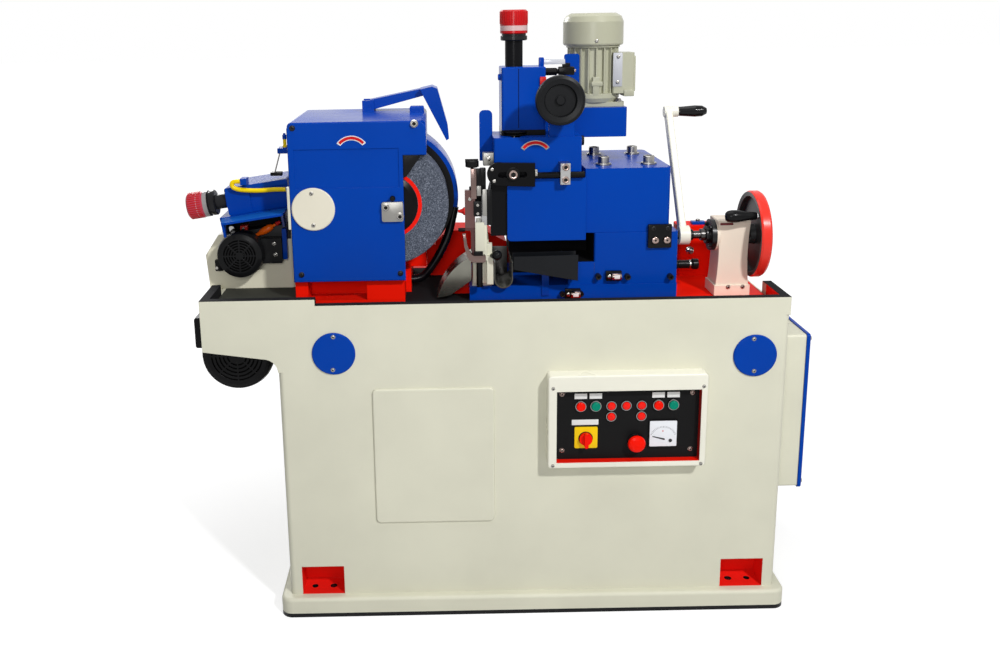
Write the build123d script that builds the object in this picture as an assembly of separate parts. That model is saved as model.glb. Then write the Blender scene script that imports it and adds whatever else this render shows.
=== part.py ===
from build123d import *
import os
from math import acos, atan2, cos, hypot, pi, radians, sin, sqrt, tan

# Centreless grinder for small bar and shaft work.
# Millimetres. X runs to the right, Y away from the operator, Z up.
# The origin is the centre of the foot, on the floor.

# Clearances
RUN_FIT = 0.05       # radial play of a shaft that turns or slides in its bore
SEAT_FIT = 0.02      # radial play of a piece that is pushed on and stays
SLIDE_FIT = 0.3      # play between the faces of a slideway
CURVE_GAP = 0.3      # air between curved faces of different bodies

# Base casting
COLUMN_W = 1256.0
BASE_DEPTH = 640.0
BASE_SEAT = 786.0
BASE_WALL = 18.0
SEAT_T = 30.0
CORNER_R = 14.0
FOOT_OUT = 24.0
FOOT_TOP = 52.0
RIB_T = 40.0
RIB_H = 90.0
RIM_T = 22.0
RIM_H = 46.0
RIM_RETURN = 150.0
TRAY_OUT = 183.0     # how far the tray overhangs the column on the left
TRAY_T = 34.0
TRAY_RIM_H = 62.0
TRAY_STEP = 98.0     # from the column's left wall to the step in the rim
TRAY_BACK = 105.0
APRON_H = 68.0
PANEL_LEFT = -398.0
PANEL_W = 302.0
PANEL_LOW = 253.0
PANEL_H = 361.0
PANEL_PROUD = 6.0
POCKET_W = 109.0
POCKET_H = 78.0
POCKET_IN = 32.0     # from the column's side to the pocket
POCKET_D = 74.0
ANCHOR_R = 9.0
JACK_R = 8.0
DISC_R = 53.5
DISC_T = 5.0
DISC_IN_LEFT = 139.0   # column's left wall to the middle of the left cover
DISC_IN_RIGHT = 82.0
DISC_DROP_LEFT = 77.0  # base seat down to the middle of the left cover
DISC_DROP_RIGHT = 102.0

# Electrical cabinet on the right wall
CAB_OUT = 71.0
CAB_FRONT = -250.0
CAB_DEPTH = 400.0
CAB_LOW = 295.0
CAB_H = 415.0
CAB_T = 4.0
CAB_COVER_T = 10.0
CAB_COVER_OUT = 3.0

# Bed on top of the base
BED_T = 20.0
RAIL_H = 20.0
RAIL_HALF = 60.0
RAIL_FLARE = 10.0
RAIL_Y = -90.0
BUTTRESS_FRONT = 40.0
BUTTRESS_BACK = 150.0
BUTTRESS_OUT = 84.0  # slide's left end to the buttress's left end
REAR_GAP = 52.0      # slide's right end to the block behind the feed end
REAR_W = 93.0
REAR_H = 139.0
REAR_FRONT = -10.0
REAR_BACK = 60.0

# Axis height of both wheels over the bed
AXIS_H = 250.0

# Grinding wheel side
WHEEL_X = -352.0
WHEEL_R = 152.5
WHEEL_W = 100.0
WHEEL_FRONT = -207.0
WHEEL_BORE = 63.5
FLANGE_R = 76.0
FLANGE_T = 10.0
SPINDLE_R = 30.0
JOURNAL_R = 35.0
BEARING_R = 55.0
HEAD_R = 92.0
HEAD_FRONT = -60.0
HEAD_BACK = 105.0
HEAD_FOOT_H = 62.0
GUARD_SPAN = 238.0   # wheel axis to the guard's left wall
GUARD_H = 211.0      # wheel axis to the guard's top
GUARD_EAR = 100.0    # wheel axis to the guard's upper right edge
GUARD_EDGE = 42.0    # wheel axis to the guard cover's lower right edge
GUARD_T = 6.0
GUARD_GAP = 16.0
COVER_T = 12.0
GUARD_BACK = 115.0
WRAP_R = 172.0
WRAP_T = 7.0
WRAP_LIP = 22.0      # width of the wrapper's front edge
WRAP_BACK = 40.0
FLAP_IN = 52.0       # wheel axis to the flap's hinge
FLAP_UP = 13.0
FLAP_PIN_R = 4.0
FLAP_EARS = (28.0, 90.0)
FLAP_EAR_T = 12.0
FLAP_T = 4.0

# Belt drive behind the guard
MOTOR_OUT = 114.0    # column's left wall to the motor's axis
MOTOR_DROP = 103.0   # base seat down to the motor's axis
MOTOR_R = 80.0
COWL_R = 92.0
COWL_FRONT = -250.0
PULLEY_R_MOTOR = 70.0
PULLEY_R_SPINDLE = 60.0
PULLEY_FRONT = 124.0
GROOVE_PITCH = 19.0
GROOVES = 3
GROOVE_DEPTH = 12.0
BELT_CASE_T = 3.0
BELT_CASE_GAP = 8.0   # belt to the case's wall
BELT_CASE_END = 3.0   # pulley to the case's back

# Slots in the motors' fan cowls
GRILLE_SLOT = 3.5
GRILLE_SPOKE = 4.0
GRILLE_DEPTH = 5.0

# Wheel dresser on the left
DRESS_GAP = 18.0     # guard's left wall to the carriage's end
DRESS_UP = 11.0      # wheel axis to the quill's middle
DRESS_TILT = 8.0
DRESS_HALF = 82.0
DRESS_FRONT = -120.0
DRESS_BACK = 30.0
DRESS_H = 72.0
DRESS_QUILL_Y = -95.0
DRESS_QUILL_R = 14.0
SADDLE_T = 10.0
SADDLE_H = 38.0
BRACKET_FRONT = -104.0
BRACKET_BACK = 95.0
BRACKET_LEFT = 142.0  # dresser's middle to the bracket's left end
BRACKET_RIGHT = 84.0
DM_R = 60.0
DM_IN = 47.0         # dresser's middle to its motor's axis
DM_UP = 102.0        # tray floor to its motor's axis
DM_NOSE = 62.0
HOSE_Y = -130.0

# Graduated feed knob, the same on both dressers
KNOB_R = 34.0
KNOB_L = 58.0
KNOB_RING = 16.0

# Slides
SLIDE_FRONT = -214.0
SLIDE_OUT = 35.0     # blade to the slide's left end
SLIDE_REACH = 370.5  # regulating wheel's axis to the slide's right end
LOWER_T = 37.0
UPPER_STEP = 24.0    # housing's split to the upper slide's left end
UPPER_H = 133.0
SLIDE_BACK = 200.0
LOWER_BACK = 30.0    # back of the lower slide's narrow left half

# Regulating wheel side
WORK_GAP = 101.5     # between the wheels when the slides are drawn back
REG_R = 101.5
REG_W = 100.0
REG_FRONT = -197.0
REG_BORE = 38.0
REG_SPINDLE_R = 25.0
REG_FLANGE_R = 55.0
HOUSE_OUT = 69.5     # regulating wheel's axis to the housing's left end
HOUSE_L = 206.0      # housing's left end to its split
HOUSE_IN = 21.0      # slide's right end to the housing's right end
HOUSE_FRONT = -210.0
HOUSE_STEP = -84.0
HOUSE_BACK = 128.0
HOUSE_UP = 82.0      # wheel axis to the housing's top
WORM_OFF = 92.5      # regulating wheel's axis to the worm's axis
WORM_Y = 58.0
WORM_R = 24.0
BOX_IN = 46.0        # drive box's left end to the worm's axis
BOX_W = 219.0
BOX_FRONT = -60.0
BOX_BACK = 105.0
BOX_UP = 60.0        # housing's top to the box's underside
BOX_H = 76.0
DRIVE_IN = 79.0      # motor's axis to the box's right end
DRIVE_Y = 22.0
DRIVE_R = 66.0
FAN_R = 78.5
DRIVE_H = 239.0
DRIVE_FLANGE = 76.0

# Dresser above the regulating wheel
RD_BASE_OUT = 90.5   # regulating wheel's axis to the base's left end
RD_BASE_W = 217.0
RD_BASE_BACK = -64.0
RD_BASE_UP = 62.0    # wheel axis to the base's underside
RD_BASE_H = 100.0
RD_OUT = 67.5        # regulating wheel's axis to the carriage's left side
RD_W = 109.0
RD_FRONT = -170.0
RD_BACK = -60.0
RD_FOOT = 15.0
RD_H = 168.0
RD_QUILL_OUT = 34.5
RD_QUILL_Y = -135.0
RD_QUILL_R = 15.0
RD_NECK_R = 22.0
RD_NECK_H = 64.0
HW_OUT = 21.0        # carriage's right side to the handwheel's axis
HW_UP = 95.0
HW_R = 59.0
HW_FRONT = -300.0
HW_POST_FRONT = -206.0
HW_POST_BACK = -186.0
HW_SLEEVE = -268.0
SPLASH_FRONT = -128.0
SPLASH_T = 9.0
ARM_Y = -237.0
ARM_ROD_R = 8.0
ARM_IN = 57.0        # base's right end to the clamp of the arm's rod
CLAMP_W = 24.0

# Feed end
FEED_Y = -170.0
FEED_UP = 151.0
FEED_R = 10.0
PED_GAP = 89.0       # crank lever to the pedestal
PED_W = 83.0
PED_HALF = 37.0
PED_UP = 43.0        # feed shaft to the pedestal's top
PED_FOOT = 27.0
FW_R = 110.0
FW_GAP = 5.0
FW_W = 27.0
FW_WEB = 13.0
FW_HANDLE_ORBIT = 86.0
FW_HANDLE_TURN = 47.0
CRANK_GAP = 11.0     # slide's right end to the crank lever's hub
CRANK_L = 327.0
CRANK_SET = 18.0     # how far the lever leans to the left at its end
CRANK_LEAN = 22.6
GRIP_L = 74.0
GRIP_AT = 18.0

# Work rest between the wheels
BLADE_IN = 84.5      # grinding wheel's face to the blade
BLADE_T = 8.0
REST_FRONT = -205.0
REST_BACK = -112.0
REST_DROP = 56.0     # wheel axis to the rest's top
TROUGH_REACH = 73.0  # blade to the trough's right wall
APRON_WEB = 4.0

# Control box on the base's front
CB_LEFT = 34.0
CB_W = 390.0
CB_LOW = 411.0
CB_H = 242.0
CB_DEPTH = 40.0
CB_RECESS = 22.0
CB_LEDGE = 7.0
PLATE_T = 4.0
BUTTON_R = 11.0
BUTTON_DOWN = 86.0   # box's top to the row of buttons
BUTTON_INS = (82.5, 119.5, 274.0, 311.0)
LAMP_INS = (158.0, 195.0, 232.5)
LAMP_DROP = 28.0     # from the upper row of lamps to the lower one
STOP_IN = 219.5
STOP_UP = 61.0
SWITCH_IN = 95.5
SWITCH_UP = 71.0

# Derived places
HALF = COLUMN_W / 2
FRONT = -BASE_DEPTH / 2
BACK = BASE_DEPTH / 2
BED_TOP = BASE_SEAT + BED_T
AXIS_Z = BED_TOP + AXIS_H
RIM_TOP = BASE_SEAT + RIM_H
TRAY_FLOOR = BASE_SEAT + TRAY_T
TRAY_RIM_TOP = BASE_SEAT + TRAY_RIM_H
TRAY_END = -HALF - TRAY_OUT
STEP_X = -HALF + TRAY_STEP
WHEEL_BACK = WHEEL_FRONT + WHEEL_W
GUARD_LEFT = WHEEL_X - GUARD_SPAN
TRAY_IN = GUARD_LEFT - 3
GUARD_TOP = AXIS_Z + GUARD_H
GUARD_LOW = BED_TOP + HEAD_FOOT_H
GUARD_FRONT = WHEEL_FRONT - GUARD_GAP
COVER_FRONT = GUARD_FRONT - COVER_T
PULLEY_W = GROOVE_PITCH * GROOVES + 1
BELT_CASE_DEPTH = PULLEY_FRONT + PULLEY_W + BELT_CASE_END + BELT_CASE_T - GUARD_BACK
LOWER_TOP = BED_TOP + LOWER_T
UPPER_TOP = LOWER_TOP + UPPER_H
REG_BACK = REG_FRONT + REG_W
MOTOR_X = -HALF - MOTOR_OUT
MOTOR_Z = BASE_SEAT - MOTOR_DROP
FLAP_X = WHEEL_X - FLAP_IN
FLAP_Z = GUARD_TOP + FLAP_UP
DRESS_X = GUARD_LEFT - DRESS_GAP - DRESS_HALF
DRESS_Z = AXIS_Z + DRESS_UP
DM_X = DRESS_X - DM_IN
DM_Z = TRAY_FLOOR + DM_UP
BLADE_X = WHEEL_X + WHEEL_R + BLADE_IN
REST_TOP = AXIS_Z - REST_DROP
TROUGH_RIGHT = BLADE_X + TROUGH_REACH
REG_X = WHEEL_X + WHEEL_R + WORK_GAP + REG_R
SLIDE_LEFT = BLADE_X - SLIDE_OUT
SLIDE_RIGHT = REG_X + SLIDE_REACH
HOUSE_LEFT = REG_X - HOUSE_OUT
HOUSE_SPLIT = HOUSE_LEFT + HOUSE_L
HOUSE_RIGHT = SLIDE_RIGHT - HOUSE_IN
HOUSE_TOP = AXIS_Z + HOUSE_UP
HOUSE_LOW = UPPER_TOP - 14
UPPER_LEFT = HOUSE_SPLIT + UPPER_STEP
WORM_X = REG_X + WORM_OFF
WORM_WHEEL_R = WORM_OFF - WORM_R - 0.5
BOX_LEFT = WORM_X - BOX_IN
BOX_RIGHT = BOX_LEFT + BOX_W
BOX_LOW = HOUSE_TOP + BOX_UP
BOX_TOP = BOX_LOW + BOX_H
DRIVE_X = BOX_RIGHT - DRIVE_IN
DRIVE_TOP = BOX_TOP + DRIVE_H
RD_BASE_LEFT = REG_X - RD_BASE_OUT
RD_BASE_RIGHT = RD_BASE_LEFT + RD_BASE_W
RD_BASE_LOW = AXIS_Z + RD_BASE_UP
RD_BASE_TOP = RD_BASE_LOW + RD_BASE_H
RD_LEFT = REG_X - RD_OUT
RD_RIGHT = RD_LEFT + RD_W
RD_TOP = RD_BASE_TOP + RD_H
RD_QUILL_X = REG_X - RD_QUILL_OUT
HW_X = RD_RIGHT + HW_OUT
HW_Z = RD_BASE_TOP + HW_UP
ARM_CLAMP = RD_BASE_RIGHT - ARM_IN
ARM_Z = RD_BASE_LOW + 10
FEED_Z = BED_TOP + FEED_UP
CRANK_X = SLIDE_RIGHT + CRANK_GAP
PED_LEFT = CRANK_X + PED_GAP
PED_RIGHT = PED_LEFT + PED_W
PED_TOP = FEED_Z + PED_UP
FW_X = PED_RIGHT + FW_GAP
CAB_RIGHT = HALF + CAB_OUT
CAB_BACK = CAB_FRONT + CAB_DEPTH
CAB_TOP = CAB_LOW + CAB_H
CB_RIGHT = CB_LEFT + CB_W
CB_TOP = CB_LOW + CB_H
CB_FRONT = FRONT - CB_DEPTH
CB_OPEN = (CB_LEFT + 21, CB_RIGHT - 15, CB_LOW + 15, CB_TOP - 40)
PLATE_FRONT = CB_FRONT + CB_RECESS
PLATE_BACK = PLATE_FRONT + PLATE_T
BUTTON_Z = CB_TOP - BUTTON_DOWN
BUTTON_XS = [CB_LEFT + x for x in BUTTON_INS]
LAMP_SPOTS = [(CB_LEFT + x, BUTTON_Z) for x in LAMP_INS]
LAMP_SPOTS += [(CB_LEFT + x, BUTTON_Z - LAMP_DROP) for x in LAMP_INS[::2]]
STOP_X = CB_LEFT + STOP_IN
STOP_Z = CB_LOW + STOP_UP
SWITCH_X = CB_LEFT + SWITCH_IN
SWITCH_Z = CB_LOW + SWITCH_UP
DISC_SPOTS = [(-HALF + DISC_IN_LEFT, BASE_SEAT - DISC_DROP_LEFT)]
DISC_SPOTS.append((HALF - DISC_IN_RIGHT, BASE_SEAT - DISC_DROP_RIGHT))
DISC_SPOTS.append((GUARD_LEFT + DISC_R + 3.5, AXIS_Z - 2))
TILT = Pos(DRESS_X, 0, DRESS_Z) * Rot(0, -DRESS_TILT, 0)
HOSE_X = DRESS_X - 39
HOSE_Z = DRESS_Z + 43
HOSE_END = DRESS_X + DRESS_HALF - 6
HOSE_END_Z = DRESS_Z + 20
SCREW_X = BLADE_X - 26


def block(x0, x1, y0, y1, z0, z1):
    return Pos((x0 + x1) / 2, (y0 + y1) / 2, (z0 + z1) / 2) * Box(x1 - x0, y1 - y0, z1 - z0)


def rod_x(r, x0, x1, y, z):
    return Pos((x0 + x1) / 2, y, z) * Rot(0, 90, 0) * Cylinder(r, x1 - x0)


def rod_y(r, y0, y1, x, z):
    return Pos(x, (y0 + y1) / 2, z) * Rot(90, 0, 0) * Cylinder(r, y1 - y0)


def rod_z(r, z0, z1, x, y):
    return Pos(x, y, (z0 + z1) / 2) * Cylinder(r, z1 - z0)


def flat(points):
    return make_face(Polyline(*points, close=True))


def prism_x(points, x0, x1):
    # points are (y, z)
    return extrude(Plane.YZ.offset(x0) * flat(points), amount=x1 - x0)


def prism_y(points, y0, y1):
    # points are (x, z)
    return extrude(Plane.XZ.offset(-y1) * flat(points), amount=y1 - y0)


def spread_y(sketch, y0, y1):
    return extrude(Plane.XZ.offset(-y1) * sketch, amount=y1 - y0)


def turned(profile):
    # profile points are (radius, place along the axis)
    return revolve(flat(profile), Axis.Y)


def turned_x(profile, y, z):
    return Pos(0, y, z) * Rot(0, 0, -90) * turned(profile)


def turned_y(profile, x, z):
    return Pos(x, 0, z) * turned(profile)


def turned_z(profile, x, y):
    return Pos(x, y, 0) * Rot(90, 0, 0) * turned(profile)


def round_along(shape, axis, r):
    return fillet(shape.edges().filter_by(axis), r)


def belt_outline(extra):
    # Outline of a belt round both pulleys, grown outwards by extra.
    rm = PULLEY_R_MOTOR + extra
    rs = PULLEY_R_SPINDLE + extra
    dx = WHEEL_X - MOTOR_X
    dz = AXIS_Z - MOTOR_Z
    lean = atan2(dz, dx)
    open_angle = acos((rm - rs) / hypot(dx, dz))
    corners = []
    for side in (1, -1):
        a = lean + side * open_angle
        pair = [(MOTOR_X + rm * cos(a), MOTOR_Z + rm * sin(a)), (WHEEL_X + rs * cos(a), AXIS_Z + rs * sin(a))]
        corners += pair if side > 0 else pair[::-1]
    sketch = flat(corners)
    sketch += Pos(MOTOR_X, MOTOR_Z) * Circle(rm)
    sketch += Pos(WHEEL_X, AXIS_Z) * Circle(rs)
    return sketch


def pulley_profile(radius, bore):
    points = [(bore, PULLEY_FRONT), (radius, PULLEY_FRONT)]
    for i in range(GROOVES):
        mid = PULLEY_FRONT + 0.5 + GROOVE_PITCH * (i + 0.5)
        points += [(radius, mid - 7), (radius - GROOVE_DEPTH, mid - 4.5)]
        points += [(radius - GROOVE_DEPTH, mid + 4.5), (radius, mid + 7)]
    points += [(radius, PULLEY_FRONT + PULLEY_W), (bore, PULLEY_FRONT + PULLEY_W)]
    return points


def hose(name, points, r):
    # Straight runs joined by tangent arcs; each arc takes 0.45 of the shorter run beside it.
    vectors = [Vector(*p) for p in points]
    radii = []
    for a, b, c in zip(vectors, vectors[1:], vectors[2:]):
        turn = radians((b - a).get_angle(c - b))
        radii.append(round(0.45 * min((b - a).length, (c - b).length) / tan(turn / 2), 2))
    path = FilletPolyline(*vectors, radius=radii)
    start = Plane(origin=path @ 0, z_dir=path % 0)
    tube = sweep(start * Circle(r), path=path)
    fullness = round(tube.volume / (pi * r * r * path.length), 4)
    print(name, "radii", radii, "volume over section times length", fullness)
    return tube


def fan_grille(radii, spokes, depth):
    # Ring slots between spokes, about Y, cut from the face at 0 backwards.
    slots = Sketch()
    for r in radii:
        slots += Circle(r + GRILLE_SLOT / 2) - Circle(r - GRILLE_SLOT / 2)
    for i in range(spokes):
        slots -= Rot(0, 0, 180 * i / spokes) * Rectangle(3 * radii[-1], GRILLE_SPOKE)
    return spread_y(slots, -1, depth)


def belt_case_room():
    """The space that the belt guard takes, with air round it."""
    outline = belt_outline(BELT_CASE_GAP + BELT_CASE_T + 3)
    return spread_y(outline, GUARD_BACK - 3, GUARD_BACK + BELT_CASE_DEPTH + 5)


def base_casting():
    column = round_along(block(-HALF, HALF, FRONT, BACK, 0, BASE_SEAT), Axis.Z, CORNER_R)
    foot = round_along(
        block(-HALF - FOOT_OUT, HALF + FOOT_OUT, FRONT - FOOT_OUT, BACK + FOOT_OUT, 0, FOOT_TOP), Axis.Z, 30
    )
    foot = fillet(foot.faces().sort_by(Axis.Z)[-1].edges(), 9)
    body = column + foot

    # Tray on the left, with its rims and the front apron that hides the motor
    body += block(TRAY_END, TRAY_IN, FRONT, TRAY_BACK, BASE_SEAT, TRAY_FLOOR)
    body += block(TRAY_END, STEP_X, FRONT, FRONT + RIM_T, BASE_SEAT, TRAY_RIM_TOP)
    body += block(TRAY_END, TRAY_END + RIM_T, FRONT, FRONT + RIM_RETURN, BASE_SEAT, TRAY_RIM_TOP)
    body += block(STEP_X, HALF, FRONT, FRONT + RIM_T, BASE_SEAT, RIM_TOP)
    body += block(HALF - RIM_T, HALF, FRONT, FRONT + RIM_RETURN, BASE_SEAT, RIM_TOP)
    low = BASE_SEAT - APRON_H
    inner = low - 21
    bend = 36
    edge = [
        Polyline((-HALF + 20, inner - bend), (-HALF + 20, BASE_SEAT), (TRAY_END, BASE_SEAT), (TRAY_END, low)),
        Line((TRAY_END, low), (-HALF - bend, inner)),
        ThreePointArc(
            (-HALF - bend, inner),
            (-HALF - bend * 0.293, inner - bend * 0.293),
            (-HALF, inner - bend),
        ),
        Line((-HALF, inner - bend), (-HALF + 20, inner - bend)),
    ]
    body += spread_y(make_face(edge), FRONT, FRONT + RIM_T)

    # Raised panel cast on the front
    panel = block(
        PANEL_LEFT, PANEL_LEFT + PANEL_W, FRONT - PANEL_PROUD, FRONT + 2, PANEL_LOW, PANEL_LOW + PANEL_H
    )
    panel = round_along(panel, Axis.Y, 12)
    panel = fillet(panel.faces().sort_by(Axis.Y)[0].edges(), 4)
    body += panel

    # Inside: open below, two crossing ribs and a solid block at each foot
    cavity = block(
        -HALF + BASE_WALL, HALF - BASE_WALL, FRONT + BASE_WALL, BACK - BASE_WALL, -1, BASE_SEAT - SEAT_T
    )
    cavity -= block(-HALF, HALF, -RIB_T / 2, RIB_T / 2, -2, RIB_H)
    cavity -= block(-RIB_T / 2, RIB_T / 2, FRONT, BACK, -2, RIB_H)
    pocket_x0 = HALF - POCKET_IN - POCKET_W
    pocket_x1 = HALF - POCKET_IN
    cuts = []
    for sx in (-1, 1):
        x0, x1 = sorted((sx * (pocket_x0 - BASE_WALL), sx * HALF))
        p0, p1 = sorted((sx * pocket_x0, sx * pocket_x1))
        for sy in (-1, 1):
            y0, y1 = sorted((sy * BACK, sy * (BACK - POCKET_D - BASE_WALL)))
            cavity -= block(x0, x1, y0, y1, -2, FOOT_TOP + POCKET_H + BASE_WALL)
            mouth = sy * (BACK + 1)
            profile = [
                (mouth, FOOT_TOP),
                (sy * (BACK - POCKET_D), FOOT_TOP),
                (sy * (BACK - POCKET_D * 0.6), FOOT_TOP + POCKET_H),
                (mouth, FOOT_TOP + POCKET_H),
            ]
            cuts.append(prism_x(profile, p0, p1))
            hole_y = sy * (BACK - POCKET_D / 2)
            cuts.append(rod_z(ANCHOR_R, -1, FOOT_TOP + 1, sx * (pocket_x0 + 0.3 * POCKET_W), hole_y))
            cuts.append(rod_z(JACK_R, -1, FOOT_TOP + 1, sx * (pocket_x0 + 0.75 * POCKET_W), hole_y))
    body -= cavity
    for cut in cuts:
        body -= cut
    for x, z in DISC_SPOTS[:2]:
        body -= rod_y(DISC_R - 12, FRONT - 1, FRONT + BASE_WALL + 1, x, z)
    body -= belt_case_room()
    return body


def inspection_discs():
    group = []
    for (x, z), face in zip(DISC_SPOTS, (FRONT, FRONT, COVER_FRONT)):
        top = face - DISC_T
        profile = [(0, face), (0, top), (DISC_R - 2, top), (DISC_R, top + 2), (DISC_R, face)]
        group.append(turned_y(profile, x, z))
    return group


def bed_casting():
    plate = block(TRAY_IN + 2, HALF - RIM_T - 6, FRONT + RIM_T + 6, BACK - 20, BASE_SEAT, BED_TOP)
    rail = [
        (RAIL_Y - RAIL_HALF, BED_TOP - 1),
        (RAIL_Y + RAIL_HALF, BED_TOP - 1),
        (RAIL_Y + RAIL_HALF, BED_TOP),
        (RAIL_Y + RAIL_HALF + RAIL_FLARE, BED_TOP + RAIL_H),
        (RAIL_Y - RAIL_HALF - RAIL_FLARE, BED_TOP + RAIL_H),
        (RAIL_Y - RAIL_HALF, BED_TOP),
    ]
    body = plate + prism_x(rail, SLIDE_LEFT - 65, SLIDE_RIGHT + 6)
    # Buttress behind the work gap
    left = SLIDE_LEFT - BUTTRESS_OUT
    buttress = prism_y(
        [
            (left, BED_TOP - 1),
            (left, BED_TOP + 98),
            (left + 34, BED_TOP + 129),
            (left + 135, BED_TOP + 127),
            (left + 196, BED_TOP + 94),
            (left + 196, BED_TOP - 1),
        ],
        BUTTRESS_FRONT,
        BUTTRESS_BACK,
    )
    body += round_along(buttress, Axis.Y, 8)
    post = WHEEL_X + HEAD_R + CURVE_GAP
    body += block(post, left + 8, BUTTRESS_FRONT, GUARD_BACK - GUARD_T - 4, BED_TOP - 1, BED_TOP + 90)
    # Block behind the feed end
    rear_left = SLIDE_RIGHT + REAR_GAP
    rear = block(rear_left, rear_left + REAR_W, REAR_FRONT, REAR_BACK, BED_TOP - 1, BED_TOP + REAR_H)
    body += round_along(rear, Axis.Z, 10)
    body -= belt_case_room()
    return body


def electrical_cabinet():
    box = block(HALF, CAB_RIGHT, CAB_FRONT, CAB_BACK, CAB_LOW, CAB_TOP)
    box = round_along(box, Axis.X, 6)
    t = CAB_T
    return box - block(HALF + t, CAB_RIGHT + 1, CAB_FRONT + t, CAB_BACK - t, CAB_LOW + t, CAB_TOP - t)


def cabinet_cover():
    out = CAB_COVER_OUT
    right = CAB_RIGHT + CAB_COVER_T
    cover = block(CAB_RIGHT, right, CAB_FRONT - out, CAB_BACK + out, CAB_LOW - out, CAB_TOP + out)
    cover = round_along(cover, Axis.X, 8)
    return fillet(cover.faces().sort_by(Axis.X)[-1].edges(), 3)


def control_box():
    box = block(CB_LEFT, CB_RIGHT, CB_FRONT, FRONT, CB_LOW, CB_TOP)
    box = round_along(box, Axis.Y, 9)
    box = fillet(box.faces().sort_by(Axis.Y)[0].edges(), 4)
    x0, x1, z0, z1 = CB_OPEN
    box -= block(x0, x1, CB_FRONT - 1, PLATE_BACK, z0, z1)
    t = CB_LEDGE
    return box - block(x0 + t, x1 - t, PLATE_BACK - 1, FRONT + 1, z0 + t, z1 - t)


def control_plate():
    x0, x1, z0, z1 = CB_OPEN
    plate = block(x0 + SLIDE_FIT, x1 - SLIDE_FIT, PLATE_FRONT, PLATE_BACK, z0 + SLIDE_FIT, z1 - SLIDE_FIT)
    holes = []
    rings = [(x, BUTTON_Z, BUTTON_R + 3, BUTTON_R + CURVE_GAP) for x in BUTTON_XS]
    rings += [(x, z, BUTTON_R + 2, BUTTON_R - 1) for x, z in LAMP_SPOTS]
    rings.append((STOP_X, STOP_Z, BUTTON_R + 6, BUTTON_R + CURVE_GAP))
    rings.append((SWITCH_X, SWITCH_Z, 18, 5 + RUN_FIT))
    for x, z, outer, inner in rings:
        ring = rod_y(outer, PLATE_FRONT - 4, PLATE_FRONT + 1, x, z)
        plate += chamfer(ring.faces().sort_by(Axis.Y)[0].edges(), 1)
        holes.append(rod_y(inner, PLATE_FRONT - 5, PLATE_BACK + 1, x, z))
    for hole in holes:
        plate -= hole
    return plate


def push_button(x):
    face = PLATE_FRONT - 10
    profile = [
        (0, face),
        (BUTTON_R - 2, face),
        (BUTTON_R, face + 1.5),
        (BUTTON_R, PLATE_BACK + 2),
        (BUTTON_R + 2, PLATE_BACK + 2),
        (BUTTON_R + 2, PLATE_BACK + 5),
        (0, PLATE_BACK + 5),
    ]
    return turned_y(profile, x, BUTTON_Z)


def emergency_stop():
    face = PLATE_FRONT - 28
    profile = [
        (0, face),
        (14, face + 1),
        (20, face + 4),
        (22, face + 9),
        (20, face + 14),
        (BUTTON_R, face + 16),
        (BUTTON_R, PLATE_BACK + 2),
        (BUTTON_R + 2, PLATE_BACK + 2),
        (BUTTON_R + 2, PLATE_BACK + 5),
        (0, PLATE_BACK + 5),
    ]
    return turned_y(profile, STOP_X, STOP_Z)


def switch_knob():
    face = PLATE_FRONT - 4
    disc = rod_y(16, face - 7, face, SWITCH_X, SWITCH_Z)
    grip = block(SWITCH_X - 5, SWITCH_X + 5, face - 18, face - 6, SWITCH_Z - 19, SWITCH_Z + 19)
    disc += round_along(grip, Axis.Y, 4.5)
    disc += rod_y(5, face - 1, PLATE_BACK + 4, SWITCH_X, SWITCH_Z)
    return disc


def wheelhead_casting():
    right = WHEEL_X + 52
    foot = block(GUARD_LEFT, right, WHEEL_FRONT - 8, GUARD_BACK, BED_TOP, GUARD_LOW)
    foot -= block(
        GUARD_LEFT + 32, WHEEL_X - 58, WHEEL_FRONT - 9, WHEEL_FRONT + 57, BED_TOP + 8, GUARD_LOW + 1
    )
    # Way for the work rest's apron
    foot -= block(WHEEL_X + 38, right + 1, WHEEL_FRONT - 9, WHEEL_FRONT + 87, BED_TOP - 1, GUARD_LOW + 1)
    post = block(WHEEL_X - HEAD_R, WHEEL_X + HEAD_R, HEAD_FRONT, HEAD_BACK, GUARD_LOW - 8, AXIS_Z)
    post += rod_y(HEAD_R, HEAD_FRONT, HEAD_BACK, WHEEL_X, AXIS_Z)
    body = foot + post
    return body - rod_y(BEARING_R, HEAD_FRONT - 1, HEAD_BACK + 1, WHEEL_X, AXIS_Z)


def spindle_bearings():
    group = []
    for y in (HEAD_FRONT + 5, HEAD_BACK - 35):
        ring = rod_y(BEARING_R - SEAT_FIT, y, y + 30, WHEEL_X, AXIS_Z)
        group.append(ring - rod_y(JOURNAL_R + RUN_FIT, y - 1, y + 31, WHEEL_X, AXIS_Z))
    return group


def grinding_spindle():
    nose = WHEEL_FRONT - FLANGE_T - 3
    profile = [
        (0, nose),
        (SPINDLE_R - 3, nose),
        (SPINDLE_R, nose + 3),
        (SPINDLE_R, HEAD_FRONT - 6),
        (JOURNAL_R, HEAD_FRONT - 3),
        (JOURNAL_R, HEAD_BACK + 1),
        (22, HEAD_BACK + 3),
    ]
    profile += pulley_profile(PULLEY_R_SPINDLE, 22) + [(0, PULLEY_FRONT + PULLEY_W)]
    return turned_y(profile, WHEEL_X, AXIS_Z)


def grinding_wheel():
    c = 2
    profile = [
        (WHEEL_BORE, WHEEL_FRONT),
        (WHEEL_R - c, WHEEL_FRONT),
        (WHEEL_R, WHEEL_FRONT + c),
        (WHEEL_R, WHEEL_BACK - c),
        (WHEEL_R - c, WHEEL_BACK),
        (WHEEL_BORE, WHEEL_BACK),
    ]
    return turned_y(profile, WHEEL_X, AXIS_Z)


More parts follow.
